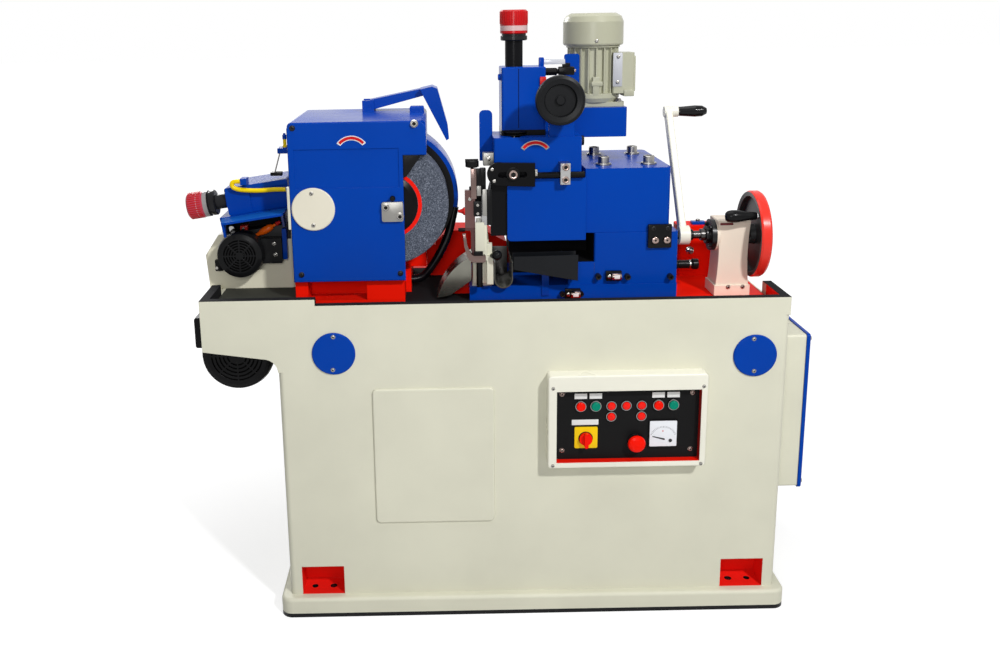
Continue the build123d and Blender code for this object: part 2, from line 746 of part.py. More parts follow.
def wheel_flanges():
    bore = SPINDLE_R + SEAT_FIT
    hub = WHEEL_BORE - CURVE_GAP
    rear = [
        (bore, WHEEL_FRONT),
        (hub, WHEEL_FRONT),
        (hub, WHEEL_BACK),
        (FLANGE_R, WHEEL_BACK),
        (FLANGE_R, WHEEL_BACK + FLANGE_T),
        (bore, WHEEL_BACK + FLANGE_T),
    ]
    face = WHEEL_FRONT - FLANGE_T
    front = [
        (bore, WHEEL_FRONT),
        (bore, face),
        (FLANGE_R - 12, face),
        (FLANGE_R, WHEEL_FRONT - 4),
        (FLANGE_R, WHEEL_FRONT),
    ]
    return [turned_y(rear, WHEEL_X, AXIS_Z), turned_y(front, WHEEL_X, AXIS_Z)]


def wheel_guard_body():
    right = WHEEL_X + GUARD_EAR
    shell = block(GUARD_LEFT, right, GUARD_FRONT, GUARD_BACK, GUARD_LOW, GUARD_TOP)
    top = shell.edges().filter_by(Axis.Y).filter_by_position(Axis.Z, GUARD_TOP - 1, GUARD_TOP + 1)
    shell = fillet(top, 12)
    shell -= block(
        GUARD_LEFT + GUARD_T, right - GUARD_T,
        GUARD_FRONT - 1, GUARD_BACK - GUARD_T,
        GUARD_LOW - 1, GUARD_TOP - GUARD_T,
    )
    ear_low = AXIS_Z + 127
    shell -= block(
        right - GUARD_T - 1, right + 1, GUARD_FRONT - 1, GUARD_BACK - GUARD_T, GUARD_LOW - 1, ear_low
    )
    # Way for the dresser's quill
    shell -= block(
        GUARD_LEFT - 1, GUARD_LEFT + GUARD_T + 1, WHEEL_FRONT + 2, WHEEL_BACK + 50, AXIS_Z - 6, AXIS_Z + 58
    )
    shell -= rod_y(JOURNAL_R + 10, GUARD_BACK - GUARD_T - 1, GUARD_BACK + 1, WHEEL_X, AXIS_Z)
    # Wrapper that carries the guard round behind the work gap
    outer = WRAP_R + WRAP_T
    sheet = Pos(WHEEL_X, AXIS_Z) * (Circle(outer) - Circle(WRAP_R))
    lip = Pos(WHEEL_X, AXIS_Z) * (Circle(outer) - Circle(outer - WRAP_LIP))
    back = Pos(WHEEL_X, AXIS_Z) * (Circle(outer) - Circle(HEAD_R + 4))
    end = radians(-10)
    start = radians(56)
    far = 2 * WRAP_R
    wedge = flat(
        [
            (WHEEL_X, AXIS_Z),
            (WHEEL_X + far * cos(end), AXIS_Z + far * sin(end)),
            (WHEEL_X + far * cos(start), AXIS_Z + far * sin(start)),
        ]
    )
    front = REG_BACK + 3
    shell += spread_y(sheet & wedge, front, WRAP_BACK)
    shell += spread_y(lip & wedge, front, front + GUARD_T)
    shell += spread_y(back & wedge, WRAP_BACK - GUARD_T, WRAP_BACK)
    # Lifting lug on top, and the ears of the flap's hinge
    lug = block(right - 44, right - 6, -20, 10, GUARD_TOP - 2, GUARD_TOP + 16)
    shell += fillet(lug.faces().sort_by(Axis.Z)[-1].edges(), 5)
    for y in FLAP_EARS:
        shell += block(FLAP_X - 20, FLAP_X + 12, y, y + FLAP_EAR_T, GUARD_TOP - 2, FLAP_Z + 16)
        shell -= rod_y(FLAP_PIN_R + RUN_FIT, y - 1, y + FLAP_EAR_T + 1, FLAP_X, FLAP_Z)
    return shell


def splash_flap():
    y0 = FLAP_EARS[0] + FLAP_EAR_T + SLIDE_FIT
    y1 = FLAP_EARS[1] - SLIDE_FIT
    body = rod_y(9, y0, y1, FLAP_X, FLAP_Z)
    body += rod_y(FLAP_PIN_R, FLAP_EARS[0], FLAP_EARS[1] + FLAP_EAR_T, FLAP_X, FLAP_Z)
    bar = [(0, -8), (12, -8), (146, 26), (138, 44), (0, 17)]
    body += prism_y([(FLAP_X + x, FLAP_Z + z) for x, z in bar], y0, y1)
    # Hood at the arm's end: a bent sheet between two side plates, open towards the wheel
    hood = [(143, 28), (136, 44), (168, 51), (182, 45), (208, -52), (211, -88), (204, -93)]
    open_side = [(138, 26), (141, 40), (168, 47), (179, 42), (204, -52), (207, -87), (199, -95)]
    front = y0 - 25
    back = y1 + 15
    sheet = prism_y([(FLAP_X + x, FLAP_Z + z) for x, z in hood], front, back)
    sheet -= prism_y([(FLAP_X + x, FLAP_Z + z) for x, z in open_side], front + FLAP_T, back - FLAP_T)
    return body + sheet


def wheel_guard_cover():
    right = WHEEL_X + GUARD_EAR
    edge = WHEEL_X + GUARD_EDGE
    ear_low = AXIS_Z + 127
    outline = [
        (GUARD_LEFT, GUARD_LOW),
        (GUARD_LEFT, GUARD_TOP - 14),
        (GUARD_LEFT + 10, GUARD_TOP),
        (right - 14, GUARD_TOP),
        (right, GUARD_TOP - 14),
        (right, ear_low),
        (edge, ear_low),
        (edge, GUARD_LOW),
    ]
    plate = prism_y(outline, COVER_FRONT, GUARD_FRONT)
    plate = fillet(plate.faces().sort_by(Axis.Y)[0].edges(), 3)
    plate -= block(GUARD_LEFT + 15, edge - 10, COVER_FRONT - 1, COVER_FRONT + 2, AXIS_Z + 49, AXIS_Z + 145)
    return plate


def drive_belts():
    outer = belt_outline(-1.5)
    inner = belt_outline(-10)
    group = []
    for i in range(GROOVES):
        mid = PULLEY_FRONT + 0.5 + GROOVE_PITCH * (i + 0.5)
        group.append(spread_y(outer - inner, mid - 4.8, mid + 4.8))
    return group


def belt_guard():
    y0 = GUARD_BACK
    y1 = GUARD_BACK + BELT_CASE_DEPTH
    case = spread_y(belt_outline(BELT_CASE_GAP + BELT_CASE_T), y0, y1)
    case -= spread_y(belt_outline(BELT_CASE_GAP), y0 + BELT_CASE_T, y1 - BELT_CASE_T)
    case -= rod_y(JOURNAL_R + 10, y0 - 1, y0 + BELT_CASE_T + 1, WHEEL_X, AXIS_Z)
    case -= rod_y(30, y0 - 1, y0 + BELT_CASE_T + 1, MOTOR_X, MOTOR_Z)
    return case


def main_motor():
    profile = [
        (0, COWL_FRONT),
        (COWL_R - 16, COWL_FRONT),
        (COWL_R - 4, COWL_FRONT + 5),
        (COWL_R, COWL_FRONT + 18),
        (COWL_R, -168),
        (MOTOR_R - 8, -166),
        (MOTOR_R - 8, 40),
        (MOTOR_R + 2, 42),
        (MOTOR_R + 2, 72),
        (MOTOR_R - 20, 92),
        (32, 96),
        (32, GUARD_BACK - 2),
        (0, GUARD_BACK - 2),
    ]
    body = turned_y(profile, MOTOR_X, MOTOR_Z)
    for i in range(20):
        fin = block(-2, 2, -166, 41, MOTOR_R - 14, MOTOR_R)
        body += Pos(MOTOR_X, 0, MOTOR_Z) * Rot(0, i * 18 + 9, 0) * fin
    body += block(MOTOR_X - 62, MOTOR_X + 62, -130, 20, MOTOR_Z + 60, BASE_SEAT)
    box = block(MOTOR_X - 126, MOTOR_X - 74, -160, -60, MOTOR_Z - 8, MOTOR_Z + 74)
    body += round_along(box, Axis.Y, 6)
    body -= Pos(MOTOR_X, COWL_FRONT, MOTOR_Z) * fan_grille((24, 34, 44, 54, 64), 4, GRILLE_DEPTH)
    return body - rod_y(14 + RUN_FIT, 40, GUARD_BACK, MOTOR_X, MOTOR_Z)


def motor_pulley():
    profile = [(0, 42), (14, 42)] + pulley_profile(PULLEY_R_MOTOR, 14) + [(0, PULLEY_FRONT + PULLEY_W)]
    return turned_y(profile, MOTOR_X, MOTOR_Z)


def bracket_top(x):
    # Height of the bracket's sloping top at x
    drop = DRESS_H / 2 + 1 + SADDLE_T + SADDLE_H
    return DRESS_Z + (x - DRESS_X) * tan(radians(DRESS_TILT)) - drop / cos(radians(DRESS_TILT))


def dresser_bracket():
    left = DRESS_X - BRACKET_LEFT
    right = DRESS_X + BRACKET_RIGHT
    outline = [
        (left, TRAY_FLOOR),
        (left - 6, TRAY_FLOOR + 92),
        (left + 30, bracket_top(left + 30)),
        (right, bracket_top(right)),
        (right, TRAY_FLOOR),
    ]
    body = prism_y(outline, BRACKET_FRONT, BRACKET_BACK)
    edge = body.edges().filter_by(Axis.Z).filter_by_position(Axis.X, right - 1, right + 1)
    body = fillet(edge, 12)
    return body - rod_y(DM_R - 8, BRACKET_FRONT - 1, BRACKET_FRONT + 120, DM_X, DM_Z)


def dresser_motor():
    front = BRACKET_FRONT - DM_NOSE
    profile = [
        (0, front),
        (DM_R - 14, front),
        (DM_R - 3, front + 4),
        (DM_R, front + 14),
        (DM_R, BRACKET_FRONT - 18),
        (DM_R - 4, BRACKET_FRONT - 16),
        (DM_R - 4, BRACKET_FRONT),
        (DM_R - 8 - CURVE_GAP, BRACKET_FRONT),
        (DM_R - 8 - CURVE_GAP, BRACKET_FRONT + 110),
        (0, BRACKET_FRONT + 110),
    ]
    body = turned_y(profile, DM_X, DM_Z)
    box = block(DM_X + 50, DM_X + 105, BRACKET_FRONT - 30, BRACKET_FRONT, DM_Z - 28, DM_Z + 38)
    body += round_along(box, Axis.Y, 5)
    return body - Pos(DM_X, front, DM_Z) * fan_grille((12, 19, 26, 33, 40), 4, GRILLE_DEPTH)


def dresser_saddle():
    z1 = -DRESS_H / 2 - 1
    z0 = z1 - SADDLE_T
    left = -DRESS_HALF - 23
    right = DRESS_HALF - 10
    body = block(left, right, DRESS_FRONT - 12, DRESS_BACK + 30, z0, z1)
    for x in (left, right - 8):
        body += block(x, x + 8, BRACKET_FRONT + 2, DRESS_BACK + 30, z0 - SADDLE_H, z0 + 1)
    body += block(left + 8, right - 8, BRACKET_FRONT + 44, DRESS_BACK + 30, z0 - SADDLE_H, z0 + 1)
    return TILT * body


def dresser_carriage():
    z0 = -DRESS_H / 2 - 1
    z1 = DRESS_H / 2 - 1
    body = block(-DRESS_HALF, DRESS_HALF, DRESS_FRONT, DRESS_BACK, z0, z1)
    body = round_along(body, Axis.Y, 5)
    body -= block(-20, DRESS_HALF + 1, DRESS_FRONT - 1, DRESS_FRONT + 6, z0 - 1, z1 - 14)
    body += rod_x(19, -DRESS_HALF - 30, -DRESS_HALF + 1, DRESS_QUILL_Y, 0)
    body -= rod_x(DRESS_QUILL_R + RUN_FIT, -DRESS_HALF + 8, DRESS_HALF + 1, DRESS_QUILL_Y, 0)
    body -= rod_x(9 + RUN_FIT, -DRESS_HALF - 31, -DRESS_HALF + 10, DRESS_QUILL_Y, 0)
    # Elbow that feeds the hose, and the union at its other end
    body = TILT * body
    body += block(HOSE_X, HOSE_X + 16, HOSE_Y - 8, DRESS_FRONT + 14, HOSE_Z - 9, HOSE_Z + 8)
    body += block(HOSE_X, HOSE_X + 16, DRESS_FRONT + 2, DRESS_FRONT + 14, HOSE_Z - 26, HOSE_Z)
    body += rod_x(9, HOSE_END, HOSE_END + 14, HOSE_Y, HOSE_END_Z)
    body += block(HOSE_END + 1, HOSE_END + 13, HOSE_Y, DRESS_FRONT + 8, HOSE_END_Z - 9, HOSE_END_Z + 9)
    return body


def dresser_hose():
    z = HOSE_Z
    points = [
        (HOSE_X - SEAT_FIT, HOSE_Y, z),
        (HOSE_X - 18, HOSE_Y, z),
        (HOSE_X - 18, HOSE_Y, z - 27),
        (HOSE_X + 20, HOSE_Y, z - 30),
        (HOSE_X + 52, HOSE_Y, z - 30),
        (HOSE_X + 86, HOSE_Y, HOSE_END_Z),
        (HOSE_END - SEAT_FIT, HOSE_Y, HOSE_END_Z),
    ]
    return hose("dresser_hose", points, 6)


def dresser_quill():
    r = DRESS_QUILL_R
    tip = (WHEEL_X - WHEEL_R - DRESS_X) / cos(radians(DRESS_TILT)) - 3
    back = -DRESS_HALF + 24
    profile = [(0, back), (r, back), (r, tip - 34), (8, tip - 26), (6, tip - 8), (1, tip), (0, tip)]
    return TILT * turned_x(profile, DRESS_QUILL_Y, 0)


def feed_knob():
    # Turned about Y; the collar's face is at 0 and the knob's end at KNOB_RING + KNOB_L.
    end = KNOB_RING + KNOB_L
    profile = [
        (0, -24),
        (9, -24),
        (9, 0),
        (KNOB_R - 3, 0),
        (KNOB_R - 1, 2),
        (KNOB_R - 1, KNOB_RING - 5),
        (KNOB_R - 4, KNOB_RING - 4),
        (KNOB_R - 4, KNOB_RING),
        (KNOB_R, KNOB_RING + 2),
        (KNOB_R, end - 4),
        (KNOB_R - 4, end),
        (0, end),
    ]
    return turned(profile)


def dresser_knob():
    return TILT * Pos(-DRESS_HALF - 30, DRESS_QUILL_Y, 0) * Rot(0, 0, 90) * feed_knob()


def coolant_hose():
    x = WHEEL_X + (WRAP_R + WRAP_T / 2) * cos(radians(-10))
    z = AXIS_Z + (WRAP_R + WRAP_T / 2) * sin(radians(-10))
    end = WHEEL_X + 52
    drop = [(3, CURVE_GAP + 1), (9, 28), (21, 78), (46, 132), (74, 174), (96, 196)]
    y = WHEEL_BACK + 32
    points = [(x - dx, y, z - dz) for dx, dz in drop]
    points.append((end + SEAT_FIT, y, z - 196))
    return hose("coolant_hose", points, 11)


def feed_pedestal():
    waist = 5
    outline = [
        Line((PED_LEFT, BED_TOP + PED_FOOT), (PED_RIGHT, BED_TOP + PED_FOOT)),
        ThreePointArc(
            (PED_RIGHT, BED_TOP + PED_FOOT),
            (PED_RIGHT - waist, (BED_TOP + PED_FOOT + PED_TOP) / 2),
            (PED_RIGHT, PED_TOP),
        ),
        Line((PED_RIGHT, PED_TOP), (PED_LEFT, PED_TOP)),
        ThreePointArc(
            (PED_LEFT, PED_TOP),
            (PED_LEFT + waist, (BED_TOP + PED_FOOT + PED_TOP) / 2),
            (PED_LEFT, BED_TOP + PED_FOOT),
        ),
    ]
    body = spread_y(make_face(outline), FEED_Y - PED_HALF, FEED_Y + PED_HALF)
    body = fillet(body.faces().sort_by(Axis.Z)[-1].edges(), 4)
    foot = block(
        PED_LEFT - 4, PED_RIGHT + 3, FEED_Y - PED_HALF - 5, FEED_Y + PED_HALF + 5, BED_TOP, BED_TOP + PED_FOOT
    )
    body += foot
    # Bearing flange on the left face
    body += rod_x(40, PED_LEFT - 12, PED_LEFT + 8, FEED_Y, FEED_Z)
    body += rod_x(22, PED_LEFT - 22, PED_LEFT, FEED_Y, FEED_Z)
    return body - rod_x(FEED_R + RUN_FIT, PED_LEFT - 30, PED_RIGHT + 10, FEED_Y, FEED_Z)


def feed_screw():
    profile = [
        (0, UPPER_LEFT + 20),
        (FEED_R, UPPER_LEFT + 20),
        (FEED_R, PED_LEFT - 34),
        (FEED_R + 5, PED_LEFT - 34),
        (FEED_R + 5, PED_LEFT - 23),
        (FEED_R, PED_LEFT - 23),
        (FEED_R, FW_X + FW_W + 6),
        (0, FW_X + FW_W + 6),
    ]
    return turned_x(profile, FEED_Y, FEED_Z)


def feed_handwheel():
    bore = FEED_R + SEAT_FIT
    x0 = FW_X
    x1 = FW_X + FW_W
    profile = [
        (bore, x0),
        (24, x0),
        (26, x0 + FW_WEB),
        (FW_R - 16, x0 + FW_WEB),
        (FW_R - 14, x0 + 2),
        (FW_R - 3, x0),
        (FW_R, x0 + 5),
        (FW_R, x1 - 5),
        (FW_R - 3, x1),
        (FW_R - 14, x1 - 2),
        (FW_R - 16, x0 + 20),
        (26, x0 + 20),
        (24, x1 + 2),
        (bore, x1 + 2),
    ]
    wheel = turned_x(profile, FEED_Y, FEED_Z)
    y, z = handle_place()
    return wheel - rod_x(4 + RUN_FIT, x0 - 2, x1, y, z)


def handle_place():
    a = radians(FW_HANDLE_TURN)
    return FEED_Y - FW_HANDLE_ORBIT * sin(a), FEED_Z + FW_HANDLE_ORBIT * cos(a)


def handwheel_handle():
    y, z = handle_place()
    root = FW_X + FW_WEB
    profile = [
        (0, root + 6),
        (4, root + 6),
        (4, root - SLIDE_FIT),
        (6, root - SLIDE_FIT),
        (7, root - 12),
        (6.5, root - 14),
        (9, root - 40),
        (12, root - 66),
        (12, root - 78),
        (7, root - 88),
        (0, root - 88),
    ]
    return turned_x(profile, y, z)


def crank_lever():
    hub = rod_x(24, CRANK_X, CRANK_X + 26, 0, 0)
    left = CRANK_X + 2
    top = left - CRANK_SET
    arm = prism_y([(left, 0), (left + 18, 0), (top + 18, CRANK_L), (top, CRANK_L)], -14, 14)
    arm = fillet(arm.edges().sort_by(SortBy.LENGTH)[-4:], 4)
    boss = rod_x(14, top - 2, CRANK_X + GRIP_AT, 0, CRANK_L)
    pin = rod_x(5, CRANK_X, CRANK_X + GRIP_AT + GRIP_L - 10, 0, CRANK_L)
    body = hub + arm + boss + pin - rod_x(FEED_R + SEAT_FIT, CRANK_X - 1, CRANK_X + 27, 0, 0)
    return Pos(0, FEED_Y, FEED_Z) * Rot(-CRANK_LEAN, 0, 0) * body


def crank_grip():
    x0 = CRANK_X + GRIP_AT + SLIDE_FIT
    bore = 5 + RUN_FIT
    profile = [
        (bore, x0),
        (11, x0),
        (12, x0 + 4),
        (15, x0 + GRIP_L * 0.6),
        (14, x0 + GRIP_L * 0.85),
        (8, x0 + GRIP_L),
        (0, x0 + GRIP_L),
        (0, x0 + GRIP_L - 8),
        (bore, x0 + GRIP_L - 8),
    ]
    grip = Pos(0, 0, CRANK_L) * Rot(0, 0, -90) * turned(profile)
    return Pos(0, FEED_Y, FEED_Z) * Rot(-CRANK_LEAN, 0, 0) * grip


def lower_slide():
    body = block(SLIDE_LEFT, SLIDE_RIGHT, SLIDE_FRONT, LOWER_BACK, BED_TOP, LOWER_TOP)
    body += block(HOUSE_LEFT + 126, SLIDE_RIGHT, LOWER_BACK - 1, SLIDE_BACK, BED_TOP, LOWER_TOP)
    grow = SLIDE_FIT
    groove = [
        (RAIL_Y - RAIL_HALF - grow, BED_TOP - 1),
        (RAIL_Y + RAIL_HALF + grow, BED_TOP - 1),
        (RAIL_Y + RAIL_HALF + grow, BED_TOP),
        (RAIL_Y + RAIL_HALF + RAIL_FLARE + grow, BED_TOP + RAIL_H + grow),
        (RAIL_Y - RAIL_HALF - RAIL_FLARE - grow, BED_TOP + RAIL_H + grow),
        (RAIL_Y - RAIL_HALF - grow, BED_TOP),
    ]
    return body - prism_x(groove, SLIDE_LEFT - 1, SLIDE_RIGHT + 1)


def upper_slide():
    body = block(UPPER_LEFT, SLIDE_RIGHT, SLIDE_FRONT + 2, SLIDE_BACK, LOWER_TOP, UPPER_TOP)
    body = fillet(body.edges().filter_by(Axis.Z), 5)
    step = block(UPPER_LEFT - 64, UPPER_LEFT + 6, SLIDE_FRONT + 2, 10, LOWER_TOP, LOWER_TOP + 58)
    body += step
    # Seat under the housing's left half
    body += block(HOUSE_LEFT + 26, UPPER_LEFT + 6, HOUSE_STEP + 4, LOWER_BACK, LOWER_TOP, HOUSE_LOW)
    return body - rod_x(FEED_R + RUN_FIT, UPPER_LEFT + 10, SLIDE_RIGHT + 1, FEED_Y, FEED_Z)


def regulating_housing():
    low = UPPER_TOP
    right = block(HOUSE_SPLIT, HOUSE_RIGHT, HOUSE_FRONT, HOUSE_BACK, low, HOUSE_TOP)
    right = fillet(right.edges().filter_by(Axis.Z).sort_by(Axis.X)[-2:], 14)
    left = block(HOUSE_LEFT, HOUSE_SPLIT + 10, HOUSE_STEP, HOUSE_BACK, HOUSE_LOW, HOUSE_TOP)
    left = fillet(left.edges().filter_by(Axis.Y).sort_by(Axis.X)[:2], 34)
    body = left + right
    body -= block(UPPER_LEFT - 2, HOUSE_SPLIT + 40, HOUSE_STEP - 1, HOUSE_BACK + 1, low - 20, low)
    body -= rod_y(REG_SPINDLE_R + RUN_FIT, HOUSE_STEP - 1, HOUSE_BACK + 1, REG_X, AXIS_Z)
    # Chamber of the worm gear, open upwards into the drive box
    body -= rod_z(WORM_R + 4, AXIS_Z - 40, HOUSE_TOP + 1, WORM_X, WORM_Y)
    body -= rod_y(WORM_WHEEL_R + 4, WORM_Y - 16, WORM_Y + 16, REG_X, AXIS_Z)
    return body


def regulating_spindle():
    face = REG_FRONT - 12
    hub = REG_BORE - CURVE_GAP
    r = REG_SPINDLE_R
    profile = [
        (0, face),
        (REG_FLANGE_R - 8, face),
        (REG_FLANGE_R, face + 5),
        (REG_FLANGE_R, REG_FRONT),
        (hub, REG_FRONT),
        (hub, REG_BACK),
        (REG_FLANGE_R, REG_BACK),
        (REG_FLANGE_R, HOUSE_STEP - 3),
        (r, HOUSE_STEP - 3),
        (r, WORM_Y - 13),
        (WORM_WHEEL_R, WORM_Y - 13),
        (WORM_WHEEL_R, WORM_Y + 13),
        (r, WORM_Y + 13),
        (r, HOUSE_BACK + 3),
        (r + 8, HOUSE_BACK + 3),
        (r + 8, HOUSE_BACK + 14),
        (0, HOUSE_BACK + 14),
    ]
    return turned_y(profile, REG_X, AXIS_Z)


def regulating_wheel():
    profile = [
        (REG_BORE, REG_FRONT),
        (REG_R - 2, REG_FRONT),
        (REG_R, REG_FRONT + 2),
        (REG_R, REG_BACK - 2),
        (REG_R - 2, REG_BACK),
        (REG_BORE, REG_BACK),
    ]
    return turned_y(profile, REG_X, AXIS_Z)


def worm_shaft():
    profile = [
        (0, AXIS_Z - 36),
        (12, AXIS_Z - 36),
        (12, AXIS_Z - 28),
        (WORM_R, AXIS_Z - 24),
        (WORM_R, AXIS_Z + 24),
        (12, AXIS_Z + 28),
        (12, BOX_LOW + 20),
        (30, BOX_LOW + 20),
        (30, BOX_LOW + 38),
        (0, BOX_LOW + 38),
    ]
    return turned_z(profile, WORM_X, WORM_Y)


def regulating_cover():
    left = HOUSE_LEFT + 11
    right = HOUSE_SPLIT
    low = HOUSE_LOW
    y0 = REG_FRONT - 31
    plate = block(left, right, y0, y0 + 4, low, RD_BASE_LOW)
    plate = fillet(plate.edges().filter_by(Axis.Y).sort_by(Axis.X)[:2], 10)
    plate += block(right - 4, right, y0 + 3, HOUSE_STEP, low + 20, RD_BASE_LOW)
    plate += block(left + 20, right, y0 + 3, HOUSE_FRONT - 2, RD_BASE_LOW - 4, RD_BASE_LOW)
    # Inner plate that covers the wheel's front up to its rim
    plate += block(REG_X - REG_R + 2, left + 24, y0 + 8, y0 + 12, low + 13, RD_BASE_LOW - 4)
    plate += block(left + 2, left + 24, y0 + 3, y0 + 9, low + 13, RD_BASE_LOW - 4)
    return plate


def dresser_base():
    y0 = HOUSE_FRONT - 2
    body = block(RD_BASE_LEFT, RD_BASE_RIGHT, y0, RD_BASE_BACK, RD_BASE_LOW, RD_BASE_TOP)
    body = round_along(body, Axis.Z, 5)
    body -= block(
        RD_BASE_LEFT - 1, RD_BASE_RIGHT + 1, HOUSE_STEP, RD_BASE_BACK + 1, RD_BASE_LOW - 1, HOUSE_TOP
    )
    body -= block(
        RD_BASE_LEFT + 6, RD_BASE_RIGHT - 6, y0 + 6, HOUSE_STEP - 4, RD_BASE_LOW - 1, RD_BASE_TOP - 14
    )
    body -= block(
        RD_QUILL_X - 11, RD_QUILL_X + 11, y0 + 8, RD_BASE_BACK - 20, RD_BASE_TOP - 15, RD_BASE_TOP + 1
    )
    # Upright splash plate on the left
    plate = block(
        RD_BASE_LEFT - 31, RD_BASE_LEFT + 2, SPLASH_FRONT, SPLASH_FRONT + SPLASH_T, AXIS_Z + 95, AXIS_Z + 223
    )
    plate = fillet(plate.edges().filter_by(Axis.Y).filter_by_position(Axis.Z, AXIS_Z + 222, AXIS_Z + 224), 12)
    body += plate
    # Bracket that carries the traverse screw
    bracket = block(HW_X - 16, HW_X + 46, HW_POST_FRONT, HW_POST_BACK, RD_BASE_TOP - 2, HW_Z + 30)
    body += fillet(bracket.edges().filter_by(Axis.Y).filter_by_position(Axis.Z, HW_Z + 29, HW_Z + 31), 15)
    body += rod_y(20, HW_SLEEVE, HW_POST_FRONT + 6, HW_X, HW_Z)
    body -= rod_y(8 + RUN_FIT, HW_SLEEVE - 2, HW_POST_BACK + 6, HW_X, HW_Z)
    # Clamp for the arm's rod
    end = ARM_CLAMP + CLAMP_W
    front = ARM_Y - ARM_ROD_R - 6
    body += block(ARM_CLAMP, end, front, y0 + 2, RD_BASE_LOW + 1, RD_BASE_LOW + 40)
    body += block(ARM_CLAMP, end, front, REG_FRONT - 32, RD_BASE_LOW - 12, RD_BASE_LOW + 2)
    return body - rod_x(ARM_ROD_R + RUN_FIT, ARM_CLAMP - 1, end + 1, ARM_Y, ARM_Z)


def adjusting_arm():
    # Round-ended slotted plate on a rod
    root = RD_BASE_LEFT + 99
    top = (root - 80, ARM_Z + 33)
    tip = (root - 117, ARM_Z + 4)
    low = (root - 92, ARM_Z - 23)
    outline = [
        Polyline(low, (root, ARM_Z - 27), (root, ARM_Z + 31), top),
        ThreePointArc(top, tip, low),
    ]
    arm = spread_y(make_face(outline), ARM_Y - 6, ARM_Y + 6)
    slot = block(root - 90, root - 20, ARM_Y - 7, ARM_Y + 7, ARM_Z - 4, ARM_Z + 10)
    arm -= round_along(slot, Axis.Y, 6)
    return arm + rod_x(ARM_ROD_R, root - 1, ARM_CLAMP + 60, ARM_Y, ARM_Z)


def drive_box():
    body = block(BOX_LEFT, BOX_RIGHT, BOX_FRONT, BOX_BACK, BOX_LOW, BOX_TOP)
    body += block(BOX_LEFT, HOUSE_SPLIT - 2, BOX_FRONT, BOX_BACK, HOUSE_TOP, BOX_LOW + 1)
    body = round_along(body, Axis.Z, 8)
    body -= rod_z(WORM_R + 4, HOUSE_TOP - 1, BOX_LOW + 16, WORM_X, WORM_Y)
    body -= rod_z(34, BOX_LOW + 14, BOX_TOP - 20, WORM_X, WORM_Y)
    # Upright plate beside the dresser
    plate = block(BOX_LEFT + 54, BOX_LEFT + 93, BOX_FRONT, BOX_FRONT + 6, BOX_TOP - 1, BOX_TOP + 138)
    return body + fillet(plate.edges().filter_by(Axis.Y).sort_by(Axis.Z)[-2:], 6)


def drive_motor():
    z0 = BOX_TOP
    fan = DRIVE_TOP - 81
    flange = block(DRIVE_X - DRIVE_FLANGE, DRIVE_X + DRIVE_FLANGE, DRIVE_Y - 58, DRIVE_Y + 58, z0, z0 + 12)
    flange = round_along(flange, Axis.Z, 12)
    profile = [
        (0, z0 + 11),
        (DRIVE_R - 2, z0 + 11),
        (DRIVE_R + 4, z0 + 22),
        (DRIVE_R + 4, z0 + 34),
        (DRIVE_R - 8, z0 + 36),
        (DRIVE_R - 8, fan - 8),
        (DRIVE_R + 4, fan - 6),
        (DRIVE_R + 4, fan - 2),
        (FAN_R - 2, fan),
        (FAN_R, fan + 4),
        (FAN_R, DRIVE_TOP - 22),
        (FAN_R - 6, DRIVE_TOP - 8),
        (FAN_R - 20, DRIVE_TOP),
        (0, DRIVE_TOP),
    ]
    body = flange + turned_z(profile, DRIVE_X, DRIVE_Y)
    for i in range(20):
        fin = block(DRIVE_R - 14, DRIVE_R + 1, -2, 2, z0 + 35, fan - 7)
        body += Pos(DRIVE_X, DRIVE_Y, 0) * Rot(0, 0, i * 18) * fin
    box = block(DRIVE_X + 43, DRIVE_X + 99, DRIVE_Y - 62, DRIVE_Y + 14, z0 + 34, z0 + 138)
    body += round_along(box, Axis.Z, 6)
    return body


def reg_dresser_carriage():
    foot = block(RD_LEFT, RD_RIGHT, RD_FRONT, RD_BACK, RD_BASE_TOP, RD_BASE_TOP + RD_FOOT)
    box = block(RD_LEFT, RD_RIGHT, RD_FRONT, RD_BACK, RD_BASE_TOP + RD_FOOT - 1, RD_TOP)
    box = round_along(box, Axis.Z, 6)
    box = fillet(box.faces().sort_by(Axis.Z)[-1].edges(), 3)
    body = foot + box
    body += rod_z(RD_NECK_R, RD_TOP - 1, RD_TOP + RD_NECK_H, RD_QUILL_X, RD_QUILL_Y)
    body += block(RD_RIGHT - 1, HW_X + 22, RD_BACK - 30, RD_BACK - 6, HW_Z - 26, HW_Z + 24)
    body -= rod_z(RD_QUILL_R + RUN_FIT, RD_BASE_TOP - 1, RD_TOP - 10, RD_QUILL_X, RD_QUILL_Y)
    body -= rod_z(9 + RUN_FIT, RD_TOP - 11, RD_TOP + RD_NECK_H + 1, RD_QUILL_X, RD_QUILL_Y)
    return body - rod_y(8 + RUN_FIT, RD_BACK - 40, RD_BACK, HW_X, HW_Z)


def reg_dresser_quill():
    tip = AXIS_Z + sqrt(REG_R ** 2 - (RD_QUILL_X - REG_X) ** 2) + 5
    r = RD_QUILL_R
    top = RD_TOP - 30
    profile = [(0, tip), (1, tip), (5, tip + 8), (8, tip + 14), (8, RD_BASE_TOP + 8)]
    profile += [(r, RD_BASE_TOP + 12), (r, top), (0, top)]
    return turned_z(profile, RD_QUILL_X, RD_QUILL_Y)


def reg_dresser_knob():
    return Pos(RD_QUILL_X, RD_QUILL_Y, RD_TOP + RD_NECK_H) * Rot(90, 0, 0) * feed_knob()


